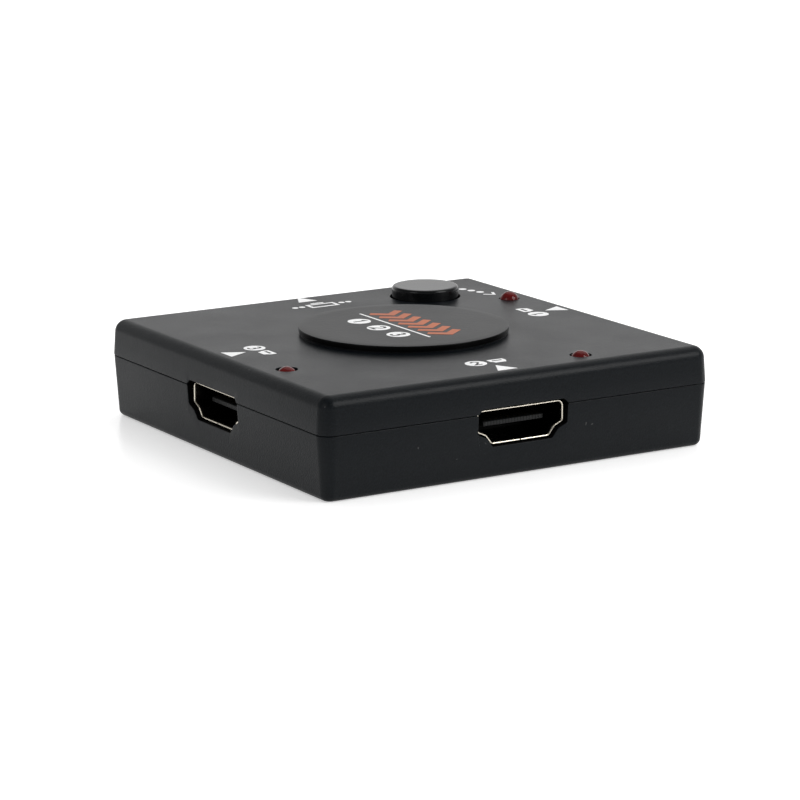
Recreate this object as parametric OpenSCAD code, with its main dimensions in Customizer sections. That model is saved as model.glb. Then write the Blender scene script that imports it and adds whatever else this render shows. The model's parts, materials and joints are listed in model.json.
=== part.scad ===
// Switch box for three video sources and one screen, in a square two-part case.
// Millimetres, +Z up. The origin is on the table under the middle of the case.
// The front, with input 2, faces -Y. Input 1 is on the right, input 3 on the left, the output at the back.

/* [Case] */
// Width of the case at the parting line, the same both ways
case_w = 65; // [64:0.2:74]
// Height of the top face above the table
case_h = 14.8; // [14:0.1:17]
// Height of the parting line above the table
seam_z = 9.4; // [9:0.1:9.8]
// How far the lower shell's edge lies inside the upper shell's edge
seam_step = 0.05; // [0:0.01:0.2]
// Radius of the upright corners at the parting line
corner_r = 2.2; // [1.8:0.1:4]
// Rounding of the top edge
top_r = 1.9; // [0.6:0.1:2.2]
// Rounding of the bottom edge
foot_r = 1; // [0.4:0.1:1.4]
// Draft of the side walls, in degrees
draft = 3.9; // [0.5:0.1:4.5]
// Thickness of the side walls at the parting line
wall = 1.9; // [1.6:0.1:2.2]
// Thickness of the floor
floor_t = 1.5; // [1.2:0.1:1.8]
// Thickness of the roof
roof_t = 1.6; // [1.2:0.1:1.9]
// Height of the locating lip on the lower shell
lip_h = 1; // [0.6:0.1:1.4]
// Thickness of the locating lip
lip_t = 0.7; // [0.5:0.05:0.9]
// Clearance round the locating lip
lip_gap = 0.1; // [0.05:0.05:0.2]
// Least rounding of the corners inside the case and of the board's corners
inner_r = 0.5; // [0.2:0.1:1]

/* [Corner bosses] */
// Distance of each boss from the inner faces of the two walls beside it
boss_in = 4.2; // [3.8:0.1:6]
// Diameter of the boss under the board
boss_d = 6.4; // [5.8:0.1:7]
// Diameter of the neck that passes through the board
neck_d = 4.2; // [3.6:0.1:4.4]
// Height of the neck above the board
neck_h = 4.5; // [3:0.1:5.5]
// Radial clearance of the neck in the upper shell's sleeve
sleeve_gap = 0.05; // [0.02:0.01:0.1]
// Wall of the upper shell's sleeve
sleeve_t = 1; // [0.8:0.1:1.2]
// Gap between the sleeve's end and the board
pinch_gap = 0.05; // [0.02:0.01:0.2]

/* [Badge disc] */
// Diameter of the disc
disc_d = 31.1; // [24:0.1:34]
// Thickness of the disc
disc_t = 0.8; // [0.6:0.1:1.5]
// Rounding of the disc's upper edge
disc_edge_r = 0.12; // [0.05:0.01:0.3]
// Height of the raised seat under the disc
seat_h = 0.3; // [0.1:0.05:0.6]
// How far the seat stops short of the disc's edge
seat_in = 0.2; // [0.1:0.05:0.6]

/* [Circuit board] */
// Thickness of the board
board_t = 1.6; // [1.2:0.1:1.8]
// Room under the board
under_gap = 1.65; // [1.3:0.05:1.8]
// Clearance between the board's edge and the walls
board_gap = 0.6; // [0.3:0.1:0.9]
// Radial clearance of the board round the boss necks
neck_gap = 0.15; // [0.1:0.05:0.3]
// Clearance of soldered legs and leads in the board
leg_gap = 0.2; // [0.1:0.05:0.25]
// How far soldered legs and leads stand out under the board
leg_out = 0.6; // [0.3:0.1:0.8]

/* [Sockets] */
// Width inside the metal shell
port_w = 14; // [13.6:0.1:14.6]
// Height inside the metal shell
port_h = 4.55; // [4.4:0.05:4.8]
// Width of the narrow side of the opening
port_foot_w = 9.4; // [9:0.1:10]
// How far the shoulder's bend lies out from the narrow side
shoulder_w = 0.95; // [0.7:0.05:1.2]
// Height of the shoulder's bend above the narrow side
shoulder_h = 1.25; // [1:0.05:1.5]
// Height at which the shoulder meets the upright side
shoulder_top = 1.85; // [1.7:0.05:2.2]
// Cut across the opening's two wide corners
port_corner = 0.4; // [0.2:0.05:0.7]
// Thickness of the shell's sheet metal
sheet = 0.3; // [0.2:0.02:0.4]
// Length of the metal shell
port_len = 11.3; // [10.6:0.1:11.8]
// How far the shell's mouth lies behind the case's face
port_set = 0.95; // [0.8:0.05:1.6]
// Clearance of the case round the metal shell
port_gap = 0.15; // [0.1:0.05:0.4]
// Further clearance of the upper shell above it
port_head = 0.1; // [0:0.05:0.2]
// How far the third input's socket lies to the right of the middle of its side
input_3_shift = 0.3; // [-1:0.05:1]
// Slit where the folded sheet meets itself
fold_slit = 0.14; // [0.08:0.02:0.3]
// Width of the spring fingers in the shell's roof
spring_w = 1.6; // [1:0.1:2.2]
// Length of the spring fingers
spring_l = 4; // [3:0.1:5]
// Distance of each spring finger from the middle
spring_x = 3.4; // [2.6:0.1:4.4]
// Distance of the spring fingers' tips behind the mouth
spring_set = 1.6; // [1.2:0.1:2.4]
// Slit round the spring fingers
spring_slit = 0.3; // [0.2:0.05:0.4]
// Width of the shell's solder legs
leg_w = 1.2; // [0.8:0.1:1.6]
// Distance of the front legs behind the mouth
leg_front = 3.2; // [2.8:0.1:3.8]
// Distance of the rear legs behind the mouth
leg_back = 8.6; // [7.6:0.1:9.2]

/* [Socket insides] */
// Width of the contact tongue
tongue_w = 9.9; // [9.6:0.1:10.4]
// Thickness of the contact tongue
tongue_t = 0.8; // [0.6:0.05:1.1]
// Height of the tongue's middle above the opening's narrow side
tongue_rise = 2.3; // [2:0.05:2.6]
// Distance of the tongue's end behind the mouth
tongue_set = 1.9; // [1.4:0.1:2.6]
// Distance of the insulator's block behind the mouth
block_set = 7; // [6.4:0.1:7.6]
// Clearance of the insulator inside the shell
mould_gap = 0.05; // [0.02:0.01:0.1]
// Spacing of the contacts in one row
contact_pitch = 1; // [0.95:0.01:1]
// Contacts in the upper row, with one fewer in the lower row
contact_count = 10; // [6:1:10]
// Width of one contact
contact_w = 0.3; // [0.2:0.02:0.36]
// Thickness of one contact
contact_t = 0.15; // [0.1:0.01:0.2]
// Distance of the contacts' tips behind the tongue's end
contact_set = 0.25; // [0.1:0.05:0.6]
// Distance behind the mouth at which the contacts turn down to the board
contact_turn = 9.7; // [9.4:0.1:10.2]
// How far the contacts' feet stand out behind the shell
foot_out = 0.7; // [0.4:0.1:1]
// Width of the cut-out for the contacts' feet in the shell
foot_slot_w = 10.6; // [10.2:0.1:11]
// Height of that cut-out
foot_slot_h = 1.1; // [0.8:0.1:1.4]
// Start of that cut-out behind the mouth
foot_slot_set = 9; // [8.8:0.1:9.2]

/* [Button] */
// Distance of the button's middle from the right-hand face
button_from_right = 15.3; // [14.3:0.1:16.3]
// Distance of the button's middle from the back face
button_from_back = 10.7; // [9.9:0.1:11.9]
// Diameter of the cap
cap_d = 10.5; // [8:0.1:11]
// Height of the cap above the top face
cap_rise = 1.75; // [1.2:0.05:2.5]
// Rounding of the cap's edge
cap_edge_r = 0.45; // [0.2:0.05:0.8]
// Radial clearance of the cap in its hole
cap_gap = 0.25; // [0.2:0.05:0.35]
// Thickness of the cap's skin
cap_skin = 1.2; // [0.9:0.1:1.6]
// How far the flange reaches out past the cap
flange_w = 0.9; // [0.6:0.1:1.1]
// Thickness of the flange
flange_t = 0.9; // [0.6:0.1:1.1]
// Gap between the flange and the roof
flange_gap = 0.3; // [0.2:0.05:0.5]
// Diameter of the stem
stem_d = 4; // [3:0.1:5]

/* [Push switch] */
// Width of the housing, the same both ways
tact_w = 6.2; // [6:0.1:7]
// Height of the housing with its cover plate
tact_h = 3.5; // [3.2:0.1:3.9]
// Height of the plunger's top above the board
tact_total = 5; // [4.6:0.1:5.6]
// Thickness of the cover plate
cover_t = 0.3; // [0.2:0.05:0.4]
// Thickness of the housing's floor
pit_floor = 1; // [0.8:0.1:1.2]
// Diameter of the housing's pit
pit_d = 4.9; // [4.7:0.1:5.2]
// Diameter of the plunger's shank
plunger_d = 3.4; // [2.8:0.1:3.6]
// Diameter of the plunger's foot
plunger_foot_d = 4.4; // [4.1:0.1:4.4]
// Clearance of the plunger's shank in the cover plate, and of its foot under the plate
plunger_gap = 0.2; // [0.15:0.05:0.25]
// Diameter of the snap dome
dome_d = 4.5; // [4:0.1:4.6]
// Height of the snap dome
dome_rise = 0.45; // [0.35:0.05:0.6]
// Thickness of the snap dome
dome_t = 0.1; // [0.06:0.01:0.14]
// Gap between the dome and the plunger
dome_gap = 0.05; // [0.02:0.01:0.1]
// Diameter of the housing's corner rivets
rivet_d = 0.8; // [0.6:0.05:0.9]
// Distance of the rivets from the housing's sides
rivet_in = 0.7; // [0.6:0.05:0.8]
// Clearance of the rivets in the cover plate
rivet_gap = 0.05; // [0.02:0.01:0.1]
// Height of the rivets above the cover plate
rivet_out = 0.15; // [0.1:0.05:0.3]
// Width of the terminals
term_w = 0.7; // [0.5:0.05:0.9]
// Thickness of the terminals
term_t = 0.25; // [0.15:0.05:0.3]
// Distance of the terminals from the middle
term_x = 1.7; // [1.4:0.1:2]

/* [Lamps] */
// Distance of each lamp from the case's face
lamp_in = 5.3; // [4.9:0.1:6.4]
// Distance of each lamp from its socket's middle line
lamp_along = 13.1; // [11:0.1:16]
// Diameter of the lamps
lamp_d = 3; // [2.6:0.1:3.2]
// Length of the lamps' bodies
lamp_len = 5.3; // [4.6:0.1:5.8]
// Diameter of the lamps' collars
collar_d = 3.8; // [3.5:0.1:4.2]
// Height of the lamps' collars
collar_h = 1; // [0.8:0.1:1.2]
// Radial clearance of the lamps in the roof
lamp_gap = 0.1; // [0.06:0.01:0.2]
// How far lamp 1 stands out of the top face
lamp_1_rise = 1.1; // [0.3:0.05:1.2]
// How far lamp 2 stands out of the top face
lamp_2_rise = 0.65; // [0.3:0.05:1.2]
// How far lamp 3 stands out of the top face
lamp_3_rise = 0.4; // [0.3:0.05:1.2]
// Thickness of the square leads
lead_w = 0.5; // [0.4:0.02:0.6]
// Spacing of the two leads
lead_pitch = 2.54; // [2.4:0.02:2.6]
// Spacing of the two posts inside the lamp
post_pitch = 1.2; // [1.1:0.05:1.3]
// Height of the posts inside the lamp
post_h = 2; // [1.6:0.1:2.4]
// Height at which the leads turn in under the lamp
lead_bend = 0.7; // [0.6:0.05:1]
// Height of the reflector cup on the taller post
cup_h = 0.7; // [0.4:0.1:0.9]
// Width of the reflector cup
cup_w = 0.9; // [0.7:0.05:1]

/* [Chips] */
// Width of the switching chip's body, the same both ways
mux_w = 10; // [8:0.5:11]
// Height of the switching chip's body
mux_h = 1.2; // [0.9:0.1:1.5]
// Leads along each side of the switching chip
mux_count = 16; // [8:1:16]
// Spacing of the switching chip's leads
mux_pitch = 0.5; // [0.45:0.01:0.5]
// Width of the switching chip's leads
mux_lead_w = 0.22; // [0.16:0.02:0.3]
// Length of the selector chip's body
selector_l = 4.9; // [4.6:0.1:5.4]
// Width of the selector chip's body
selector_w = 3.9; // [3.6:0.1:4.2]
// Height of the selector chip's body
selector_h = 1.4; // [1.1:0.1:1.6]
// Leads along each side of the selector chip
selector_count = 4; // [3:1:4]
// Spacing of the selector chip's leads
selector_pitch = 1.27; // [1.2:0.01:1.27]
// Width of the selector chip's and the regulator's leads
wide_lead_w = 0.42; // [0.3:0.02:0.6]
// Distance of the selector chip's middle from the right-hand and back faces
selector_in = 20.5; // [20:0.1:21.5]
// Length of the regulator's body
regulator_l = 6.5; // [6:0.1:7]
// Width of the regulator's body
regulator_w = 3.5; // [3.2:0.1:3.8]
// Height of the regulator's body
regulator_h = 1.6; // [1.3:0.1:1.8]
// Leads of the regulator
regulator_count = 3; // [2:1:3]
// Spacing of the regulator's leads
regulator_pitch = 2.3; // [2:0.1:2.4]
// Width of the regulator's tab
regulator_tab_w = 3; // [2.4:0.1:3.4]
// Gap between the regulator's tab and the power diode beside it
regulator_gap = 0.45; // [0.3:0.05:1.5]
// Distance of the regulator's middle behind the row of that diode
regulator_back = 2.3; // [0:0.1:3]
// Thickness of all chip leads
pin_t = 0.15; // [0.1:0.01:0.2]
// How far all chip leads reach out from their body
pin_reach = 1; // [0.8:0.05:1.1]
// Length of the flat foot of all chip leads
pin_foot = 0.45; // [0.3:0.05:0.5]
// Gap between the board and a chip's body
chip_gap = 0.1; // [0.05:0.01:0.2]

/* [Small parts on the board] */
// Length of a chip capacitor or resistor
small_l = 1.6; // [1.4:0.1:1.8]
// Width of a chip capacitor or resistor
small_w = 0.8; // [0.6:0.05:1]
// Height of a chip capacitor
capacitor_h = 0.8; // [0.6:0.05:1]
// Height of a chip resistor
resistor_h = 0.45; // [0.35:0.05:0.6]
// Length of the metal end on a small part
end_l = 0.3; // [0.2:0.05:0.4]
// How far a metal end stands proud of the small part's body
end_out = 0.03; // [0.02:0.01:0.05]
// Small parts in the row behind each socket
small_count = 4; // [2:1:5]
// Spacing of the small parts
small_pitch = 2.6; // [2.2:0.1:2.8]
// Distance of the capacitors behind the contacts' feet
capacitor_back = 2; // [1.6:0.1:2.4]
// Distance of the resistors behind the capacitors
resistor_back = 2.4; // [2.2:0.1:2.6]
// Length of a power diode
diode_l = 2.7; // [2.4:0.1:3.2]
// Width of a power diode
diode_w = 1.6; // [1.4:0.1:2]
// Height of a power diode
diode_h = 1.1; // [0.9:0.1:1.4]
// Distance of a power diode from its socket's middle line
diode_along = 11; // [10.6:0.1:11.5]

/* [Hidden] */
$fn = 64;

// Quarter turns from the front to each socket's side
input_1_turn = 1;
input_2_turn = 0;
input_3_turn = 3;
output_turn = 2;
input_turns = [input_1_turn, input_2_turn, input_3_turn];
all_turns = [0, 1, 2, 3];
// How far a cutting shape runs past what it cuts
past = 1;
// Facets of a thin shallow arc
fine_fn = 360;

half_w = case_w / 2;
core = half_w - corner_r;
roof_z = case_h - roof_t;
cave_half = half_w - wall;
cave_r = max(corner_r - wall, inner_r);
lip_half = cave_half + lip_t;
lip_r = cave_r + lip_t;
lip_top = seam_z + lip_h;
// A rounding is limited by the corner that it runs round
upper_r = min(top_r, corner_r - lean(case_h - seam_z));
lower_r = min(foot_r, corner_r - lean(seam_z) - seam_step);

board_z = floor_t + under_gap;
board_top = board_z + board_t;
board_half = cave_half - board_gap;
board_r = max(cave_r - board_gap, inner_r);
leg_low = board_t + leg_out;
boss_at = cave_half - boss_in;
neck_top = board_top + neck_h;
sleeve_d = neck_d + 2 * sleeve_gap;

port_at = half_w - port_set;
port_in = [
    [port_foot_w / 2, sheet],
    [port_foot_w / 2 + shoulder_w, sheet + shoulder_h],
    [port_w / 2, sheet + shoulder_top],
    [port_w / 2, sheet + port_h - port_corner],
    [port_w / 2 - port_corner, sheet + port_h]
];
port_line = concat(port_in, [for (i = [len(port_in) - 1 : -1 : 0]) [-port_in[i].x, port_in[i].y]]);
back_plate = port_len - sheet;
tongue_z = sheet + tongue_rise;
feet_end = port_len + foot_out;

button_x = half_w - button_from_right;
button_y = half_w - button_from_back;
cap_top = case_h + cap_rise;
flange_top = roof_z - flange_gap;
flange_z = flange_top - flange_t;
plate_z = tact_h - cover_t;
plunger_z = pit_floor + dome_rise + dome_gap;
rivet_at = tact_w / 2 - rivet_in;

lamp_at = half_w - lamp_in;
disc_z = case_h + seat_h;
row_1 = port_at - feet_end - capacitor_back;
row_2 = row_1 - resistor_back;
selector_at = half_w - selector_in;
regulator_x = row_1 - regulator_back;
regulator_y = diode_along + diode_w / 2 + regulator_gap + pin_reach + regulator_w / 2;

// How far a drafted wall leans in over a height
function lean(height) = height * tan(draft);

// Unit normal on the right-hand side of the way from a to b
function right_of(a, b) = [b.y - a.y, a.x - b.x] / norm(b - a);

// An outline, counter-clockwise, with every edge moved out by a distance
function grown(line, out) = [
    for (i = [0 : len(line) - 1])
        let (
            here = line[i],
            n1 = right_of(line[(i + len(line) - 1) % len(line)], here),
            n2 = right_of(here, line[(i + 1) % len(line)])
        )
        here + out * (n1 + n2) / (1 + n1 * n2)
];

// Turns what is drawn for the front to another side
module on_side(turn) rotate(90 * turn) children();

// How far a side's socket lies to the right of the side's middle
function port_shift(turn) = turn == input_3_turn ? input_3_shift : 0;

// Puts a socket's own frame in its place: y runs in from the mouth and z up from the board
module in_socket(turn) on_side(turn) translate([port_shift(turn), -port_at, board_top]) children();

// Extrudes a drawing of x and height along y
module along(from, to) translate([0, to, 0]) rotate([90, 0, 0]) linear_extrude(to - from) children();

// Extrudes a drawing of y and height to a strip of the given width about x = 0
module strip(width) rotate([90, 0, 90]) linear_extrude(width, center = true) children();

// Square with round corners
module round_square(half, r) {
    square(2 * [half, half - r], center = true);
    square(2 * [half - r, half], center = true);
    for (x = [-1, 1], y = [-1, 1]) translate([x, y] * (half - r)) circle(r);
}

// Carries an edge round the case and fills the middle. The edge is drawn from the corner's axis outwards.
module round_the_case(low, high) {
    for (turn = all_turns) on_side(turn) translate([core, core, 0]) {
        rotate_extrude(angle = 90) children();
        rotate([90, 0, 0]) linear_extrude(2 * core) children();
    }
    translate([-core, -core, low]) cube([2 * core, 2 * core, high - low]);
}

// Edge of the upper shell: a drafted side with its rounding
module upper_edge() {
    mid_z = case_h - upper_r;
    mid_x = corner_r - lean(mid_z - seam_z) - upper_r / cos(draft);
    intersection() {
        translate([0, seam_z]) square([corner_r, case_h - seam_z]);
        union() {
            polygon([
                [0, seam_z],
                [corner_r, seam_z],
                [mid_x + upper_r * cos(draft), mid_z + upper_r * sin(draft)],
                [mid_x, case_h],
                [0, case_h]
            ]);
            translate([mid_x, mid_z]) circle(upper_r);
        }
    }
}

// Edge of the lower shell: a drafted side with its rounding
module lower_edge() {
    side = corner_r - seam_step;
    mid_x = side - lean(seam_z - lower_r) - lower_r / cos(draft);
    intersection() {
        square([corner_r, seam_z]);
        union() {
            polygon([
                [0, 0],
                [mid_x, 0],
                [mid_x + lower_r * cos(draft), lower_r - lower_r * sin(draft)],
                [side, seam_z],
                [0, seam_z]
            ]);
            translate([mid_x, lower_r]) circle(lower_r);
        }
    }
}

// Opening for one socket, through the wall
module port_hole() along(-port_set - past, wall + past) polygon(grown(port_line, sheet + port_gap));

// Way down to the opening for one socket, through the wall's upper edge
module port_way() {
    half = port_w / 2 + sheet + port_gap;
    translate([-half, -port_set - past, sheet + shoulder_top])
        cube([2 * half, port_set + wall + 2 * past, lip_top + past - board_top]);
}

module at_bosses() for (x = [-1, 1], y = [-1, 1]) translate([x, y, 0] * boss_at) children();

module at_button() translate([button_x, button_y, 0]) children();

module at_switch() translate([button_x, button_y, board_top]) children();

module at_lamp(turn) on_side(turn) translate([lamp_along, -lamp_at, 0]) children();

// Cuts the upper shell from its open side up to a height
module from_seam(top) translate([0, 0, seam_z - past]) linear_extrude(top - seam_z + past) children();

// Round hole through the roof
module roof_hole(d) translate([0, 0, roof_z - past]) cylinder(d = d, h = roof_t + 2 * past);

module top_shell() color("#1d1e20") {
    difference() {
        union() {
            round_the_case(seam_z, case_h) upper_edge();
            translate([0, 0, roof_z]) cylinder(d = disc_d - 2 * seat_in, h = roof_t + seat_h);
        }
        from_seam(roof_z) round_square(cave_half, cave_r);
        from_seam(lip_top + lip_gap) round_square(lip_half + lip_gap, lip_r + lip_gap);
        for (turn = all_turns) in_socket(turn) translate([0, 0, port_head]) port_hole();
        for (turn = input_turns) at_lamp(turn) roof_hole(lamp_d + 2 * lamp_gap);
        at_button() roof_hole(cap_d + 2 * cap_gap);
    }
    at_bosses() translate([0, 0, board_top + pinch_gap]) difference() {
        cylinder(d = sleeve_d + 2 * sleeve_t, h = roof_z - board_top - pinch_gap + roof_t / 2);
        translate([0, 0, -past]) cylinder(d = sleeve_d, h = neck_h + past);
    }
}

module bottom_shell() color("#191a1c") {
    difference() {
        union() {
            round_the_case(0, seam_z) lower_edge();
            translate([0, 0, floor_t]) linear_extrude(lip_top - floor_t) round_square(lip_half, lip_r);
        }
        translate([0, 0, floor_t]) linear_extrude(lip_top - floor_t + past) round_square(cave_half, cave_r);
        for (turn = all_turns) in_socket(turn) {
            port_hole();
            port_way();
        }
    }
    at_bosses() translate([0, 0, floor_t / 2]) {
        cylinder(d = boss_d, h = board_z - floor_t / 2);
        cylinder(d = neck_d, h = neck_top - floor_t / 2);
    }
}

// Half section of a round plate with its upper edge rounded
module round_edged(r, low, high, edge_r) {
    polygon([[0, low], [r, low], [r, high - edge_r], [r - edge_r, high], [0, high]]);
    translate([r - edge_r, high - edge_r]) circle(edge_r);
}

module badge_disc() color("#232426") translate([0, 0, disc_z])
    rotate_extrude() round_edged(disc_d / 2, 0, disc_t, disc_edge_r);

module select_button() color("#151617") at_button() {
    r = cap_d / 2;
    rotate_extrude() difference() {
        union() {
            round_edged(r, flange_z, cap_top, cap_edge_r);
            translate([0, flange_z]) square([r + flange_w, flange_t]);
        }
        translate([0, flange_z - past]) square([r - cap_skin, cap_top - cap_skin - flange_z + past]);
    }
    stem_z = board_top + tact_total;
    translate([0, 0, stem_z]) cylinder(d = stem_d, h = cap_top - cap_skin / 2 - stem_z);
}

// Two bridges, each with two legs, as the switch's terminals
module terminal_pair() {
    half = tact_w / 2;
    out = half + term_t;
    for (x = [-term_x, term_x]) translate([x, 0, 0]) strip(term_w) polygon([
        [-out, -leg_low],
        [-half, -leg_low],
        [-half, pit_floor - term_t],
        [half, pit_floor - term_t],
        [half, -leg_low],
        [out, -leg_low],
        [out, pit_floor],
        [-out, pit_floor]
    ]);
}

module at_rivets() for (x = [-1, 1], y = [-1, 1]) translate([x, y, 0] * rivet_at) children();

module tact_base() color("#2a2a2c") at_switch() {
    difference() {
        translate([-tact_w / 2, -tact_w / 2, 0]) cube([tact_w, tact_w, plate_z]);
        translate([0, 0, pit_floor]) cylinder(d = pit_d, h = plate_z);
        terminal_pair();
    }
    at_rivets() translate([0, 0, pit_floor]) cylinder(d = rivet_d, h = tact_h + rivet_out - pit_floor);
}

module tact_cover() color("silver") at_switch() translate([0, 0, plate_z]) difference() {
    translate([-tact_w / 2, -tact_w / 2, 0]) cube([tact_w, tact_w, cover_t]);
    translate([0, 0, -past]) cylinder(d = plunger_d + 2 * plunger_gap, h = cover_t + 2 * past);
    at_rivets() translate([0, 0, -past]) cylinder(d = rivet_d + 2 * rivet_gap, h = cover_t + 2 * past);
}

module tact_plunger() color("#202022") at_switch() {
    translate([0, 0, plunger_z]) cylinder(d = plunger_foot_d, h = plate_z - plunger_gap - plunger_z);
    translate([0, 0, plunger_z]) cylinder(d = plunger_d, h = tact_total - plunger_z);
}

// Shallow cap of a sphere, standing on the terminals
module tact_dome() color("silver") at_switch() {
    ball_r = (dome_d * dome_d / 4 + dome_rise * dome_rise) / (2 * dome_rise);
    translate([0, 0, pit_floor]) rotate_extrude() intersection() {
        square([dome_d / 2, dome_rise]);
        translate([0, dome_rise - ball_r]) difference() {
            circle(ball_r, $fn = fine_fn);
            circle(ball_r - dome_t, $fn = fine_fn);
        }
    }
}

module tact_terminals() color("silver") at_switch() terminal_pair();

// Box of a square wire about a point, from one height to another
module wire(x, low, high) translate([x - lead_w / 2, -lead_w / 2, low]) cube([lead_w, lead_w, high - low]);

// One lead: straight up from the board, cranked in under the lamp, with its post inside the lamp's body
module cranked_lead(side, base, top) {
    foot_x = side * lead_pitch / 2;
    post_x = side * post_pitch / 2;
    crank = base - lead_bend;
    wire(foot_x, board_z - leg_out, crank + lead_w);
    translate([min(foot_x, post_x), -lead_w / 2, crank]) cube([abs(foot_x - post_x), lead_w, lead_w]);
    wire(post_x, crank, top);
}

// The two leads of a lamp, the taller post with its reflector cup
module lead_pair(rise) {
    base = case_h + rise - lamp_len;
    cranked_lead(-1, base, base + post_h + cup_h / 2);
    cranked_lead(1, base, base + post_h - cup_h);
    translate([-(post_pitch + lead_w) / 2, -cup_w / 2, base + post_h]) cube([cup_w, cup_w, cup_h]);
}

module lamp_lens(turn, rise) color("#8c1014") at_lamp(turn) {
    base = case_h + rise - lamp_len;
    r = lamp_d / 2;
    difference() {
        translate([0, 0, base]) rotate_extrude() intersection() {
            square([collar_d, lamp_len]);
            union() {
                square([collar_d / 2, collar_h]);
                square([r, lamp_len - r]);
                translate([0, lamp_len - r]) circle(r);
            }
        }
        lead_pair(rise);
    }
}

module lamp_leads(turn, rise) color("silver") at_lamp(turn) lead_pair(rise);

// The shell's four solder legs, or with a clearance, their slots in the board
module solder_legs(gap, low, high) {
    size = [sheet + 2 * gap, leg_w + 2 * gap];
    for (side = [-1, 1], y = [leg_front, leg_back])
        translate([side * (port_w + sheet) / 2, y, low])
            linear_extrude(high - low) square(size, center = true);
}

module socket_shell(turn) color("#cfcabc") in_socket(turn) {
    roof = sheet + port_h;
    difference() {
        along(0, port_len) polygon(grown(port_line, sheet));
        along(-past, back_plate) polygon(port_line);
        translate([-fold_slit / 2, -past, -past]) cube([fold_slit, port_len, sheet + past + sheet]);
        translate([-foot_slot_w / 2, foot_slot_set, -past])
            cube([foot_slot_w, port_len - foot_slot_set + past, foot_slot_h + past]);
        for (side = [-1, 1])
            translate([side * spring_x - spring_w / 2 - spring_slit, spring_set - spring_slit, roof - sheet])
                cube([spring_w + 2 * spring_slit, spring_l + spring_slit, 3 * sheet]);
    }
    for (side = [-1, 1])
        translate([side * spring_x - spring_w / 2, spring_set, roof])
            cube([spring_w, spring_l + sheet, sheet]);
    solder_legs(0, -leg_low, sheet + shoulder_top + sheet);
}

// A contact at a height on the tongue: back along it, down to the board, and out behind the shell
module contact(z) {
    tip = tongue_set + contact_set;
    strip(contact_w) polygon([
        [tip, z],
        [contact_turn, z],
        [contact_turn, 0],
        [feet_end, 0],
        [feet_end, contact_t],
        [contact_turn + contact_t, contact_t],
        [contact_turn + contact_t, z + contact_t],
        [tip, z + contact_t]
    ]);
}

// A row of contacts about the socket's middle
module contact_row(count, z)
    for (i = [0 : count - 1]) translate([(i - (count - 1) / 2) * contact_pitch, 0, 0]) contact(z);

// The two rows, set half a pitch apart because the lower one has one contact fewer
module contact_rows() {
    contact_row(contact_count, tongue_z + tongue_t / 2);
    contact_row(contact_count - 1, tongue_z - tongue_t / 2 - contact_t);
}

module socket_insulator(turn) color("#1a1a1b") in_socket(turn) difference() {
    foot_w = foot_slot_w - 2 * mould_gap;
    foot_y = foot_slot_set + mould_gap;
    union() {
        along(block_set, back_plate) polygon(grown(port_line, -mould_gap));
        along(tongue_set, block_set + past)
            translate([0, tongue_z]) square([tongue_w, tongue_t], center = true);
        translate([-foot_w / 2, foot_y, 0]) cube([foot_w, back_plate - foot_y, foot_slot_h - mould_gap]);
    }
    contact_rows();
}

module socket_contacts(turn) color("#c9a24a") in_socket(turn) contact_rows();

// Round hole through the board
module board_hole(d) translate([0, 0, board_z - past]) cylinder(d = d, h = board_t + 2 * past);

module circuit_board() color("#1f5a34") difference() {
    translate([0, 0, board_z]) linear_extrude(board_t) round_square(board_half, board_r);
    at_bosses() board_hole(neck_d + 2 * neck_gap);
    for (turn = all_turns) in_socket(turn) solder_legs(leg_gap, -board_t - past, past);
    for (turn = input_turns, side = [-1, 1])
        at_lamp(turn) translate([side * lead_pitch / 2, 0, 0]) board_hole(lead_w * sqrt(2) + leg_gap);
    at_switch() for (x = [-term_x, term_x], side = [-1, 1])
        translate([x, side * (tact_w + term_t) / 2, -board_t / 2])
            cube([term_w + 2 * leg_gap, term_t + 2 * leg_gap, board_t + 2 * past], center = true);
}

// A row of bent leads along a body's +y side, with the body's face at y = 0
module lead_row(count, pitch, width, body_h) {
    z = chip_gap + body_h / 2;
    drop = pin_reach - pin_foot;
    for (i = [0 : count - 1]) translate([(i - (count - 1) / 2) * pitch, 0, 0]) strip(width) polygon([
        [0, z],
        [drop / 2 - pin_t / 2, z],
        [drop - pin_t, 0],
        [pin_reach, 0],
        [pin_reach, pin_t],
        [drop, pin_t],
        [drop / 2 + pin_t / 2, z + pin_t],
        [0, z + pin_t]
    ]);
}

module chip_body(length, width, height)
    translate([-length / 2, -width / 2, chip_gap]) cube([length, width, height]);

module at_selector() translate([selector_at, selector_at, board_top]) children();

module at_regulator() translate([-regulator_x, regulator_y, board_top]) children();

module mux_chip() color("#242426") translate([0, 0, board_top]) chip_body(mux_w, mux_w, mux_h);

module mux_chip_leads() color("silver") translate([0, 0, board_top])
    for (turn = all_turns) on_side(turn) translate([0, mux_w / 2, 0])
        lead_row(mux_count, mux_pitch, mux_lead_w, mux_h);

module selector_chip() color("#242426") at_selector() chip_body(selector_l, selector_w, selector_h);

module selector_chip_leads() color("silver") at_selector()
    for (turn = [0, 2]) on_side(turn) translate([0, selector_w / 2, 0])
        lead_row(selector_count, selector_pitch, wide_lead_w, selector_h);

module regulator() color("#242426") at_regulator() chip_body(regulator_l, regulator_w, regulator_h);

module regulator_leads() color("silver") at_regulator() {
    translate([0, regulator_w / 2, 0]) lead_row(regulator_count, regulator_pitch, wide_lead_w, regulator_h);
    on_side(2) translate([0, regulator_w / 2, 0]) lead_row(1, regulator_pitch, regulator_tab_w, regulator_h);
}

// Small part with a metal end on each side, its length along y
module small_part(length, width, height) {
    translate([-width / 2 + end_out, -(length - end_l) / 2, 0])
        cube([width - 2 * end_out, length - end_l, height - end_out]);
    for (y = [-length / 2, length / 2 - end_l]) translate([-width / 2, y, 0]) cube([width, end_l, height]);
}

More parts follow.
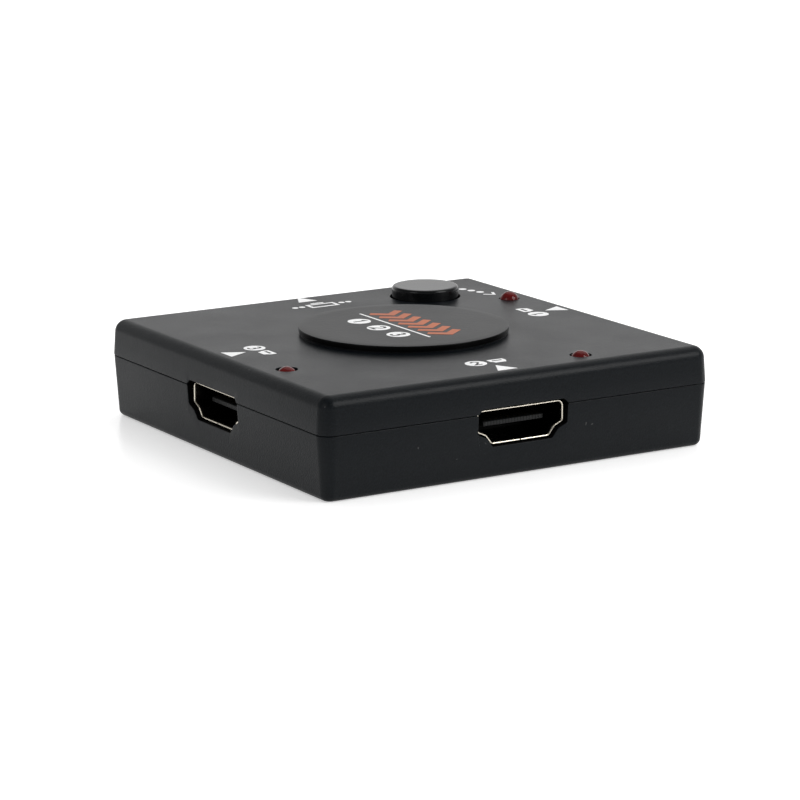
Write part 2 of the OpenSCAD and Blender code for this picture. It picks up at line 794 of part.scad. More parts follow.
// Row of small parts behind a socket
module small_row(turn, row, height) on_side(turn)
    for (i = [0 : small_count - 1])
        translate([(i - (small_count - 1) / 2) * small_pitch, -row, board_top])
            small_part(small_l, small_w, height);

module power_diodes() color("#2b2b2d")
    for (turn = input_turns) on_side(turn)
        translate([-diode_along, -row_1, board_top]) small_part(diode_l, diode_w, diode_h);

module chip_capacitors() color("#a98f6a") for (turn = all_turns) small_row(turn, row_1, capacitor_h);

module chip_resistors() color("#303236") for (turn = input_turns) small_row(turn, row_2, resistor_h);

top_shell();
bottom_shell();
badge_disc();
select_button();
tact_base();
tact_cover();
tact_plunger();
tact_dome();
tact_terminals();
lamp_lens(input_1_turn, lamp_1_rise);  // lamp_1_lens
lamp_lens(input_2_turn, lamp_2_rise);  // lamp_2_lens
lamp_lens(input_3_turn, lamp_3_rise);  // lamp_3_lens
lamp_leads(input_1_turn, lamp_1_rise);  // lamp_1_leads
lamp_leads(input_2_turn, lamp_2_rise);  // lamp_2_leads
lamp_leads(input_3_turn, lamp_3_rise);  // lamp_3_leads
socket_shell(input_1_turn);  // input_1_shell
socket_insulator(input_1_turn);  // input_1_insulator
socket_contacts(input_1_turn);  // input_1_contacts
socket_shell(input_2_turn);  // input_2_shell
socket_insulator(input_2_turn);  // input_2_insulator
socket_contacts(input_2_turn);  // input_2_contacts
socket_shell(input_3_turn);  // input_3_shell
socket_insulator(input_3_turn);  // input_3_insulator
socket_contacts(input_3_turn);  // input_3_contacts
socket_shell(output_turn);  // output_shell
socket_insulator(output_turn);  // output_insulator
socket_contacts(output_turn);  // output_contacts
circuit_board();
mux_chip();
mux_chip_leads();
selector_chip();
selector_chip_leads();
regulator();
regulator_leads();
power_diodes();
chip_capacitors();
chip_resistors();
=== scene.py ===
import json

import bmesh
import bpy
import numpy as np
from mathutils import Matrix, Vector
from mathutils.geometry import delaunay_2d_cdt


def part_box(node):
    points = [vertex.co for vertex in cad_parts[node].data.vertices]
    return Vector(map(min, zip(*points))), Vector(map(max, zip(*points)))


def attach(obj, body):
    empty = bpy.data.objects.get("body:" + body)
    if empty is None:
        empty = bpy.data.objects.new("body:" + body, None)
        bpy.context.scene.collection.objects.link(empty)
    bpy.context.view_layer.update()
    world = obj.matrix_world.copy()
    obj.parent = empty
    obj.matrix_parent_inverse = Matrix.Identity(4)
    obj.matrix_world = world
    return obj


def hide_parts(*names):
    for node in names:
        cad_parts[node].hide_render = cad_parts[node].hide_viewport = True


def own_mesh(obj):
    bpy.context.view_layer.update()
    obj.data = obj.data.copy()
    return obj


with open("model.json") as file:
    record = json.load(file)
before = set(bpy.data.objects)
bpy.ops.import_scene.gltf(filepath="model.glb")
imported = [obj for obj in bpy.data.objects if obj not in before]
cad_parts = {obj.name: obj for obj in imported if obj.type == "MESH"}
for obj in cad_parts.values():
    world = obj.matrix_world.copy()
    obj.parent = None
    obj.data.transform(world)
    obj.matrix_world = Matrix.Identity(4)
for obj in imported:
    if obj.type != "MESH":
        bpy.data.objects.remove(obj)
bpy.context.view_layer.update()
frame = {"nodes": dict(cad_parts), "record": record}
nodes = frame["nodes"]
print("frame loaded with", len(nodes), "nodes")

mm = 0.001  # pieces and camera are in millimetres, floor and lights in metres


# Points and surfaces

meshRules = {
    "roundSteps": 72,  # points round a hole, and round what stands in or over it
    "bendShare": 0.45,  # the most of an edge that a rounded corner takes
    "merge": 0.001,  # points nearer than this become one
    "sharpAngle": 35,  # steeper edges stay sharp
    "fillInside": 1, "fillNearness": 1e-7,  # how a flat sheet is filled with triangles
}


def arc(centre, radius, start, stop, steps):
    # centre plus radius times the cosine and sine of angles spread evenly from start to stop, in degrees
    angle = np.radians(np.linspace(start, stop, steps + 1))
    return np.array(centre) + radius * np.stack([np.cos(angle), np.sin(angle)], -1)


def circle(centre, radius, steps=meshRules["roundSteps"]):
    # an arc all the way round, less its last point
    return arc(centre, radius, 0, 360, steps)[:-1]


def turned(profile, centre=(0, 0), steps=meshRules["roundSteps"]):
    # each radius and height of the profile is carried round an upright axis through the centre
    radius, height = np.array(profile, float).T
    points = np.empty((len(radius), steps, 3))
    points[..., :2] = np.array(centre) + radius[:, None, None] * circle((0, 0), 1, steps)
    points[..., 2] = height[:, None]
    return points


def grown(outline, out):
    # closed outline, counter-clockwise: each corner moves along its mitre, so every edge moves out equally
    way = np.roll(outline, -1, 0) - outline
    right = np.stack([way[:, 1], -way[:, 0]], -1) / np.linalg.norm(way, axis=1)[:, None]
    last = np.roll(right, 1, 0)
    return outline + out * (right + last) / (1 + (right * last).sum(1))[:, None]


def leftMitres(line):
    # open line: the sum of the left-hand normals beside each point, stretched so that offsets stay parallel
    way = np.diff(line, axis=0)
    left = np.stack([-way[:, 1], way[:, 0]], -1) / np.linalg.norm(way, axis=1)[:, None]
    before = np.vstack([left[:1], left])
    after = np.vstack([left, left[-1:]])
    return (before + after) / (1 + (before * after).sum(1))[:, None]


def roundedLine(points, radius, steps=4):
    # open line: each inner corner becomes a parabola between points up to a radius before and after it
    points = np.array(points, float)
    corner = points[1:-1]

    def toward(end):
        way = end - corner
        length = np.linalg.norm(way, axis=1)[:, None]
        return corner + way * np.minimum(radius / length, meshRules["bendShare"])

    start, stop = toward(points[:-2])[:, None], toward(points[2:])[:, None]
    u = np.linspace(0, 1, steps + 1)[None, :, None]
    bends = (1 - u) ** 2 * start + 2 * u * (1 - u) * corner[:, None] + u ** 2 * stop
    return np.vstack([points[:1], bends.reshape(-1, 2), points[-1:]])


def levelRing(outline, height):
    # a flat outline's points at one height
    return np.column_stack([outline, np.full(len(outline), height)])


def standingRing(outline, depth):
    # an upright outline's points at one depth
    return np.insert(outline, 1, depth, 1)


def gridPatch(points, loop=True):
    # quads between neighbouring rows and columns; loop joins the last column to the first
    rows, columns = points.shape[:2]
    index = np.arange(rows * columns).reshape(rows, columns)
    if loop:
        index = np.hstack([index, index[:, :1]])
    corners = [index[:-1, :-1], index[:-1, 1:], index[1:, 1:], index[1:, :-1]]
    return points.reshape(-1, 3), np.stack(corners, -1).reshape(-1, 4)


def capPatch(ring):
    # one flat face inside a ring
    return ring, np.arange(len(ring))[None]


def sheetPatch(outline, holes, height):
    # flat sheet: triangles between the outline and the rims of round holes, less those inside a hole
    rings = [outline] + [circle(centre, radius) for centre, radius in holes]
    ends = np.cumsum([len(ring) for ring in rings])
    loops = np.split(np.arange(ends[-1]), ends[:-1])
    edges = np.vstack([np.stack([loop, np.roll(loop, -1)], -1) for loop in loops])
    how = (meshRules["fillInside"], meshRules["fillNearness"])
    made = delaunay_2d_cdt(np.vstack(rings).tolist(), edges.tolist(), [], *how)
    flat, triangles = np.array(made[0]), np.array(made[2])
    middle = flat[triangles].mean(1)
    for centre, radius in holes:
        outside = np.linalg.norm(middle - centre, axis=1) > radius
        triangles, middle = triangles[outside], middle[outside]
    return levelRing(flat, height), triangles


def solidPatches(rows):
    # rings joined row by row, with the first and the last closed
    return [gridPatch(rows), capPatch(rows[0]), capPatch(rows[-1])]


def turnedSolid(profile, steps, centre=(0, 0)):
    # a turned surface with its first and last rings closed
    return solidPatches(turned(profile, centre, steps))


def prismPatches(outline, low, high):
    # a flat outline drawn up from one height to another
    return solidPatches(np.stack([levelRing(outline, height) for height in (low, high)]))


def boxPatches(low, high):
    # an upright box between its lowest and highest corner
    (left, front, under), (right, back, over) = low, high
    return prismPatches([(left, front), (right, front), (right, back), (left, back)], under, over)


def quarterTurns(points, count):
    # x, y becomes -y, x with each quarter turn
    quarter = np.array([[0, 1, 0], [-1, 0, 0], [0, 0, 1]])
    return points @ np.linalg.matrix_power(quarter, count)


def turnedTo(patches, turn):
    return [(quarterTurns(points, turn), faces) for points, faces in patches]


def addObject(name, data):
    item = bpy.data.objects.new(name, data)
    bpy.context.scene.collection.objects.link(item)
    return item


def addPiece(name, patches, material, body="case", replaced=()):
    # patches are joined where they meet, faces are turned outwards, and only steep edges stay sharp
    starts = np.cumsum([0] + [len(points) for points, faces in patches])
    points = np.vstack([points for points, faces in patches]) * mm
    faces = [face for start, patch in zip(starts, patches) for face in (patch[1] + start).tolist()]
    mesh = bpy.data.meshes.new(name)
    mesh.from_pydata(points.tolist(), [], faces)
    work = bmesh.new()
    work.from_mesh(mesh)
    bmesh.ops.remove_doubles(work, verts=work.verts, dist=meshRules["merge"] * mm)
    bmesh.ops.recalc_face_normals(work, faces=work.faces)
    work.to_mesh(mesh)
    work.free()
    mesh.polygons.foreach_set("use_smooth", np.ones(len(mesh.polygons), bool))
    mesh.set_sharp_from_angle(angle=np.radians(meshRules["sharpAngle"]))
    mesh.materials.append(material)
    piece = addObject(name, mesh)
    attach(piece, body)
    if replaced:
        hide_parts(*replaced)
    return piece


def pointsOf(piece):
    # a piece's vertices in millimetres
    flat = np.empty(len(piece.data.vertices) * 3)
    piece.data.vertices.foreach_get("co", flat)
    return flat.reshape(-1, 3) / mm


def addTone(piece, name, values):
    # one value for each vertex, which a material can read by its name
    piece.data.attributes.new(name, "FLOAT", "POINT").data.foreach_set("value", values)


def paintFaces(piece, material, chosen):
    # the faces picked out by their middles in millimetres and their normals take a second material
    count = len(piece.data.polygons)
    middles, normals = np.empty(count * 3), np.empty(count * 3)
    piece.data.polygons.foreach_get("center", middles)
    piece.data.polygons.foreach_get("normal", normals)
    picked = chosen(middles.reshape(-1, 3) / mm, normals.reshape(-1, 3))
    piece.data.materials.append(material)
    piece.data.polygons.foreach_set("material_index", picked.astype(np.int32))


# Material nodes

def newMaterial(name):
    material = bpy.data.materials.new(name)
    material.use_nodes = True
    tree = material.node_tree
    return material, tree, tree.nodes["Principled BSDF"]


def setInputs(node, inputs):
    # another node's output is linked, and a number or a colour is typed in
    for name, value in inputs.items():
        if isinstance(value, bpy.types.NodeSocket):
            node.id_data.links.new(value, node.inputs[name])
        else:
            node.inputs[name].default_value = value


def addNode(tree, kind, inputs):
    node = tree.nodes.new(kind)
    setInputs(node, inputs)
    return node


def addNoise(tree, size, detail=2.0, stretch=(1, 1, 1)):
    # noise whose lumps are about size millimetres across, on the piece's own coordinates
    place = tree.nodes.new("ShaderNodeTexCoord").outputs["Object"]
    spread = addNode(tree, "ShaderNodeMapping", {"Vector": place, "Scale": stretch}).outputs["Vector"]
    lumps = {"Vector": spread, "Scale": 1 / (size * mm), "Detail": detail}
    return addNode(tree, "ShaderNodeTexNoise", lumps).outputs["Fac"]


def addRamp(tree, source, places, colours):
    # one colour at each place along the source's range
    ramp = addNode(tree, "ShaderNodeValToRGB", {"Fac": source})
    elements = ramp.color_ramp.elements
    while len(elements) < len(places):
        elements.new(0.5)  # moved to its own place below
    for element, place, colour in zip(elements, places, colours):
        element.position = place
        element.color = (*colour, 1)
    return ramp.outputs["Color"]


def addRange(tree, source, low, high, start=0.0, stop=1.0):
    # start to stop becomes low to high, each a number or another node's output
    ends = {"Value": source, "From Min": start, "From Max": stop, "To Min": low, "To Max": high}
    return addNode(tree, "ShaderNodeMapRange", ends).outputs["Result"]


def addBump(tree, source, depth):
    # the source's whole range stands for depth millimetres
    return addNode(tree, "ShaderNodeBump", {"Height": source, "Distance": depth * mm}).outputs["Normal"]


def ownTone(tree, name):
    # the value of that name which the piece carries
    tone = tree.nodes.new("ShaderNodeAttribute")
    tone.attribute_name = name
    return tone.outputs["Fac"]


# Finishes: sizes and depths in millimetres, places along the range that the colours follow

cloudDetail = 3.0  # of the noise that colour and gloss follow


def grey(level, blue=1.04):
    # blue is the given share of red, and green lies halfway
    return (level, level * (1 + blue) / 2, level * blue)


def coat(
    name, colours, rough, grain, depth, cloud, places,
    tone=None, detail=2.0, stretch=(1, 1, 1), specular=0.5, metallic=0.0,
):
    # colours follow a cloud, or a tone that the piece carries; gloss follows the cloud, relief a fine grain
    material, tree, shader = newMaterial(name)
    clouds = addNoise(tree, cloud, cloudDetail, stretch)
    setInputs(shader, {
        "Base Color": addRamp(tree, ownTone(tree, tone) if tone else clouds, places, colours),
        "Roughness": addRange(tree, clouds, *rough),
        "Normal": addBump(tree, addNoise(tree, grain, detail, stretch), depth),
        "Specular IOR Level": specular,
        "Metallic": metallic,
    })
    return material


def plastic(name, dark, light, rough, grain, depth, specular=0.5):
    # moulding whose colour and gloss wander over a few millimetres
    return coat(
        name, (dark, light), rough, grain, depth, cloud=7.0, places=(0.35, 0.65), specular=specular,
    )


def ink(name, dark, light):
    # printed ink, slightly uneven in cover
    return plastic(name, dark, light, rough=(0.4, 0.55), grain=0.12, depth=0.004, specular=0.4)


def ceramic(name, body, lift=1.25):
    # fired ceramic, faintly speckled
    light = tuple(level * lift for level in body)
    return plastic(name, body, light, rough=(0.45, 0.6), grain=0.15, depth=0.004)


def ribHighlightPlastic(name, dark, light):
    # black moulding with painted highlights: pale stripes, given by the piece's own tone, where ribs would
    # catch the light
    return coat(
        name, (dark, light), rough=(0.4, 0.5), grain=0.12, depth=0.006, cloud=1.5,
        places=(0.0, 1.0), tone="tone", specular=0.15,
    )


def metal(name, dark, light, rough, grain, depth, stretch=(1, 1, 1)):
    # plate that is a little brighter and smoother in places, with fine rolling marks
    return coat(
        name, (dark, light), rough, grain, depth, cloud=1.5,
        places=(0.3, 0.7), detail=1.0, stretch=stretch, metallic=1.0,
    )


def paintedShadeNickel(name):
    # bright nickel on the polished front edge; painted shade makes it dark where the sheet runs back into
    # the case
    colours = [(0.86, 0.80, 0.68), (0.80, 0.74, 0.62), (0.10, 0.095, 0.085), (0.035, 0.034, 0.032)]
    return coat(
        name, colours, rough=(0.18, 0.32), grain=0.1, depth=0.002, cloud=1.5,
        places=(0.0, 0.22, 0.4, 1.0), tone="depth", detail=1.0, metallic=1.0,
    )


dustyFinish = {
    "cloud": 9.0, "places": (0.3, 0.7), "speck": 0.55, "speckDetail": 0.0, "speckEdge": 0.03,
    "speckColour": (0.045, 0.045, 0.045, 1),
}


def dustyPlastic(name, dark, light, rough, grain, depth, specular, dust):
    # moulded plastic with a spark-eroded grain; pale specks lie where their own noise is above dust
    material, tree, shader = newMaterial(name)
    finish = dustyFinish
    cloud = addNoise(tree, finish["cloud"], cloudDetail)
    fine = addNoise(tree, grain, cloudDetail)
    specks = addNoise(tree, finish["speck"], finish["speckDetail"])
    mix = tree.nodes.new("ShaderNodeMix")
    mix.data_type = "RGBA"
    setInputs(mix, {
        "Factor": addRamp(tree, specks, (dust, dust + finish["speckEdge"]), ((0, 0, 0), (1, 1, 1))),
        "A": addRamp(tree, fine, finish["places"], (dark, light)),
        "B": finish["speckColour"],
    })
    setInputs(shader, {
        "Base Color": mix.outputs["Result"],
        "Roughness": addRange(tree, cloud, *rough),
        "Normal": addBump(tree, fine, depth),
        "Specular IOR Level": specular,
    })
    return material


resinFinish = {
    "cloud": 1.2, "places": (0.3, 0.7), "colours": [(0.085, 0.003, 0.003), (0.14, 0.005, 0.005)],
    "rough": (0.1, 0.2), "specular": 0.2, "clear": 0.2,
}


def redEpoxy(name):
    # clear red resin, a little cloudy inside
    material, tree, shader = newMaterial(name)
    finish = resinFinish
    cloud = addNoise(tree, finish["cloud"])
    setInputs(shader, {
        "Base Color": addRamp(tree, cloud, finish["places"], finish["colours"]),
        "Roughness": addRange(tree, cloud, *finish["rough"]),
        "Specular IOR Level": finish["specular"],
        "Transmission Weight": finish["clear"],
    })
    return material


boardFinish = {
    "pitch": 4.0, "trackWidth": 0.03, "trackColour": (0.022, 0.16, 0.06, 1),
    "maskColours": [(0.008, 0.075, 0.028, 1), (0.010, 0.090, 0.034, 1)], "depth": 0.03, "rough": 0.3,
}


def boardMask(name):
    # green solder mask over copper tracks that show as paler bands
    material, tree, shader = newMaterial(name)
    finish = boardFinish
    tracks = addNode(tree, "ShaderNodeTexBrick", {
        "Vector": tree.nodes.new("ShaderNodeTexCoord").outputs["Object"],
        "Scale": 1 / (finish["pitch"] * mm),
        "Color1": finish["maskColours"][0],
        "Color2": finish["maskColours"][1],
        "Mortar": finish["trackColour"],
        "Mortar Size": finish["trackWidth"],
    })
    setInputs(shader, {
        "Base Color": tracks.outputs["Color"],
        "Roughness": finish["rough"],
        "Normal": addBump(tree, tracks.outputs["Fac"], finish["depth"]),
    })
    return material


casePlastic = dustyPlastic(
    "casePlastic", dark=grey(0.0022, 1.9), light=grey(0.0042, 1.9), rough=(0.29, 0.4),
    grain=0.24, depth=0.038, specular=0.145, dust=0.875,
)
badgePlastic = dustyPlastic(
    "badgePlastic", dark=grey(0.0025, 1.3), light=grey(0.0042, 1.3), rough=(0.33, 0.4),
    grain=0.45, depth=0.03, specular=0.14, dust=0.9,
)
buttonPlastic = dustyPlastic(
    "buttonPlastic", dark=grey(0.0022, 1.3), light=grey(0.0036, 1.3), rough=(0.14, 0.2),
    grain=0.3, depth=0.006, specular=0.22, dust=0.9,
)
# painted shade: darker, almost unreflecting plastic on the cut-out faces, for the shade in the gap round
# each socket
cutPaintedShade = plastic(
    "cutPaintedShade", dark=grey(0.0010), light=grey(0.0020), rough=(0.5, 0.6),
    grain=0.2, depth=0.02, specular=0.02,
)
# the disc's sideways faces: a smoother, glossier rim, and a darker colour that is painted shade
badgeRimGlossAndShade = plastic(
    "badgeRimGlossAndShade", dark=grey(0.0012), light=grey(0.0020), rough=(0.16, 0.22),
    grain=0.3, depth=0.003, specular=0.1,
)
switchPlastic = plastic(
    "switchPlastic", dark=grey(0.03), light=grey(0.04), rough=(0.45, 0.55), grain=0.15, depth=0.006,
)
chipPlastic = plastic(
    "chipPlastic", dark=grey(0.018), light=grey(0.026), rough=(0.5, 0.6), grain=0.1, depth=0.006,
)
socketPlastic = ribHighlightPlastic("socketPlastic", dark=grey(0.004), light=grey(0.032))
ceramicTan = ceramic("ceramicTan", (0.38, 0.27, 0.16))
ceramicDark = ceramic("ceramicDark", (0.03, 0.03, 0.034))
socketNickelPaintedShade = paintedShadeNickel("socketNickelPaintedShade")
switchSteel = metal(
    "switchSteel", dark=(0.5, 0.5, 0.5), light=(0.62, 0.62, 0.62), rough=(0.25, 0.4),
    grain=0.1, depth=0.003, stretch=(8, 1, 1),
)
tinPlate = metal(
    "tinPlate", dark=(0.58, 0.58, 0.56), light=(0.7, 0.7, 0.68), rough=(0.25, 0.38),
    grain=0.1, depth=0.003,
)
contactGold = metal(
    "contactGold", dark=(0.075, 0.058, 0.034), light=(0.11, 0.085, 0.05), rough=(0.35, 0.45),
    grain=0.1, depth=0.002,
)
lampRed = redEpoxy("lampRed")
boardGreen = boardMask("boardGreen")
whiteInk = ink("whiteInk", (0.86, 0.86, 0.86), (0.93, 0.93, 0.93))
orangeInk = ink("orangeInk", (0.42, 0.095, 0.028), (0.52, 0.13, 0.04))
blackInk = ink("blackInk", grey(0.008), grey(0.012))
slotMaterials = {
    "case_plastic": casePlastic, "badge_plastic": badgePlastic, "button_plastic": buttonPlastic,
    "switch_plastic": switchPlastic, "switch_metal": switchSteel, "tinned_metal": tinPlate,
    "lamp_red": lampRed, "socket_nickel": socketNickelPaintedShade, "socket_plastic": socketPlastic,
    "contact_gold": contactGold, "board_green": boardGreen, "chip_plastic": chipPlastic,
    "ceramic_tan": ceramicTan, "ceramic_dark": ceramicDark,
}
for part in frame["record"]["subparts"]:
    mesh = nodes[part["node"]].data
    mesh.materials.clear()
    mesh.materials.append(slotMaterials[part["material_slot"]])
print("materials set on", len(nodes), "nodes")


# Places taken from the frame

def boxOf(node):
    # lowest and highest corner of a node's box
    return [np.array(corner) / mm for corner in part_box(node)]


def boxCentre(node):
    low, high = boxOf(node)
    return (low + high)[:2] / 2


def boxHeights(node):
    return [corner[2] for corner in boxOf(node)]


def sideAxes(turn):
    # to the right along a side and out of it: the front's x and -y after quarter turns
    return quarterTurns(np.array([[1, 0, 0], [0, -1, 0]]), turn)


lampNodes = ["lamp_1_lens", "lamp_2_lens", "lamp_3_lens"]
lampCentres = [boxCentre(node) for node in lampNodes]
buttonCentre = boxCentre("select_button")
socketNames = ["input_2", "input_1", "output", "input_3"]  # front, then a quarter turn each
socketShifts = [  # to the right of each side's middle
    boxCentre(name + "_shell") @ sideAxes(turn)[0, :2] for turn, name in enumerate(socketNames)
]
mouthAt = -boxOf("input_2_shell")[0][1]
boardLow, boardTop = boxHeights("circuit_board")


# The opening shared by the sockets and the case

socketShape = {  # the right half has a foot, a knee, a hip, a shoulder and a head
    "rightHalf": [(4.7, 0.3), (5.65, 1.55), (7.0, 2.15), (7.0, 4.45), (6.6, 4.85)],
    "length": 11.3, "sheet": 0.3, "gap": 0.15, "headGap": 0.1, "slit": 0.2, "bend": 0.36, "inset": 0.01,
    "slotStart": 9.0, "slotHigh": 1.1, "slotBlend": 0.02,
    "springAt": 3.4, "springWidth": 1.6, "springLength": 4.0, "springStart": 1.6,
    "springDip": 0.08, "springRise": 0.1, "plateOverlap": 0.1,
    "legs": (3.2, 8.6), "legWidth": 1.2, "legLow": 2.2, "legOverlap": 0.2,
}
rightHalf = np.array(socketShape["rightHalf"])
socketLine = np.vstack([rightHalf, rightHalf[::-1] * (-1, 1)])
caseHole = grown(socketLine, socketShape["sheet"] + socketShape["gap"]) + (0, boardTop)


# Case: both shells are profiles carried round the case, with borders that bend round the sockets

caseShape = {
    "corner": 2.2, "draft": 3.9, "topRound": 1.83, "footRound": 1.0, "edge": 0.14, "edgeRows": 5,
    "seamStep": 0.05, "seamGap": 0.08, "lipHeight": 1.0, "lipThick": 0.7, "lipGap": 0.1,
    "wall": 1.9, "floor": 1.5, "roof": 1.6, "flatRing": 0.05, "flatEdge": 0.03, "cornerColumns": 15,
    "notchBend": 0.3, "headBend": 0.15, "notchSpread": 1.0, "cutMargin": 2.0, "cutFacing": 0.7,
    "lampHole": 1.6, "buttonHole": 5.5, "holeEdge": 0.06,
    "bossIn": 4.2, "bossRadius": 3.2, "neckRadius": 2.1, "neckHeight": 4.5,
    "sleeveRadius": 3.15, "sleeveGap": 0.05, "seatRadius": 15.35, "seatHeight": 0.3,
}
caseHalf = boxOf("top_shell")[1][0]
caseTop = boxHeights("top_shell")[1] - caseShape["seatHeight"]
seamHeight = boxHeights("bottom_shell")[1] - caseShape["lipHeight"]
core = caseHalf - caseShape["corner"]
innerWall = caseShape["corner"] - caseShape["wall"]
lipSide = innerWall + caseShape["lipThick"]
tilt = np.tan(np.radians(caseShape["draft"]))
bossAt = caseHalf - caseShape["wall"] - caseShape["bossIn"]
bossCentres = [(x, y) for x in (-bossAt, bossAt) for y in (-bossAt, bossAt)]
neckTop = boardTop + caseShape["neckHeight"]


def wallColumns(right, bend, shift, voidSide):
    # columns of one wall and the corner after it, with a border that runs round a hole's right half and its
    # mirror image: along is the place on plain rows, s and z are the place and height on the border, ms and
    # mz its mitre there, clear is true beside the hole, and turn is the angle round the corner
    notchHalf, seam = right[-1]
    hole = np.vstack([right[::-1] * (-1, 1), right]) + (shift, 0)
    border = roundedLine(np.vstack([[(-core, seam)], hole, [(core, seam)]]), bend)
    length = np.append(0, np.cumsum(np.linalg.norm(np.diff(border, axis=0), axis=1)))
    nearNotch = np.flatnonzero(np.abs(border[:, 0] - shift) < notchHalf + bend)
    ends = [0, length[nearNotch[0]], length[nearNotch[-1]], length[-1]]
    spread = notchHalf + caseShape["notchSpread"]
    along = np.interp(length, ends, [-core, shift - spread, shift + spread, core])
    mitre = voidSide * leftMitres(border)
    count = caseShape["cornerColumns"]
    corner = np.ones(count)
    s = np.append(border[:, 0], core * corner)
    return {
        "along": np.append(along, core * corner),
        "s": s,
        "z": np.append(border[:, 1], seam * corner),
        "ms": np.append(mitre[:, 0], 0 * corner),
        "mz": np.append(mitre[:, 1], voidSide * corner),
        "clear": np.abs(s - shift) > notchHalf,
        "turn": np.append(0 * along, np.radians(np.linspace(0, 90, count + 2)[1:-1])),
    }


def rowOf(s, e, z):
    # place along the wall, distance out from the core and height, for every column
    return np.stack(np.broadcast_arrays(s, e, z))


def outerRows(columns, profile, sideAt):
    # flat face and rounding, then the wall, then the border's edge turned in on a quarter circle
    rows = [rowOf(columns["along"], e, z) for e, z in profile]
    angle = np.radians(np.linspace(0, 90, caseShape["edgeRows"]))[:, None]
    back = caseShape["edge"] * (1 - np.sin(angle))
    edgeS = columns["s"] - back * columns["ms"]
    edgeZ = columns["z"] - back * columns["mz"]
    edgeE = sideAt(edgeZ) - caseShape["edge"] * (1 - np.cos(angle))
    middleZ = (profile[-1][1] + edgeZ[0]) / 2
    rows.append(rowOf((columns["along"] + edgeS[0]) / 2, sideAt(middleZ), middleZ))
    rows.extend(rowOf(*row) for row in zip(edgeS, edgeE, edgeZ))
    return rows


def roundTheCase(right, bend, voidSide, profile, sideAt, innerRows):
    # x = s + e sin(turn) and y = -core - e cos(turn) on each wall and its corner, then quarter turns
    walls = []
    for count, shift in enumerate(socketShifts):
        columns = wallColumns(right, bend, shift, voidSide)
        turn = columns["turn"]
        s, e, z = np.stack(outerRows(columns, profile, sideAt) + innerRows(columns), 1)
        wall = np.stack([s + e * np.sin(turn), -core - e * np.cos(turn), z], -1)
        walls.append(quarterTurns(wall, count))
    return np.concatenate(walls, 1)


def cornerPosts(profile):
    # the profile turned round each boss's axis, with its last ring closed
    patches = []
    for centre in bossCentres:
        post = turned(profile, centre)
        patches += [gridPatch(post), capPatch(post[-1])]
    return patches


def lowerShell():
    # underside, rounded foot and wall up to the border, over the lip and down to the floor; then the bosses
    shape = caseShape
    seam, foot, floor = seamHeight, shape["footRound"], shape["floor"]
    right = np.vstack([caseHole[:3], (caseHole[2, 0], seam)])  # foot, knee, hip and straight up

    def sideAt(z):
        return shape["corner"] - shape["seamStep"] - (seam - z) * tilt

    def innerRows(columns):
        lipTop = columns["z"] + shape["lipHeight"] * columns["clear"]
        return [
            rowOf(columns["s"], lipSide, columns["z"]),
            rowOf(columns["s"], lipSide, lipTop),
            rowOf(columns["s"], innerWall, lipTop),
            rowOf(columns["along"], innerWall, floor),
            rowOf(columns["along"], shape["flatRing"], floor),
        ]

    middle = sideAt(foot) - foot / np.cos(np.radians(shape["draft"]))
    bend = arc((middle, foot), foot, -90, -shape["draft"], steps=8)
    profile = [(shape["flatRing"], 0), (middle - shape["flatEdge"], 0), *bend]
    skin = roundTheCase(right, shape["notchBend"], 1, profile, sideAt, innerRows)
    bossHoles = [(centre, shape["bossRadius"]) for centre in bossCentres]
    inside = sheetPatch(skin[-1, :, :2], bossHoles, floor)
    bossProfile = [
        (shape["bossRadius"], floor),
        (shape["bossRadius"], boardLow),
        (shape["neckRadius"], boardLow),
        (shape["neckRadius"], neckTop),
    ]
    return [gridPatch(skin), capPatch(skin[0]), inside] + cornerPosts(bossProfile)


def holeEdge(radius, low):
    # flat ring, quarter-round edge and straight wall of a round hole in the roof
    edge = caseShape["holeEdge"]
    bend = arc((radius + edge, caseTop - edge), edge, 90, 180, steps=4)
    return [(radius + 2 * edge, caseTop), *bend, (radius, low)]


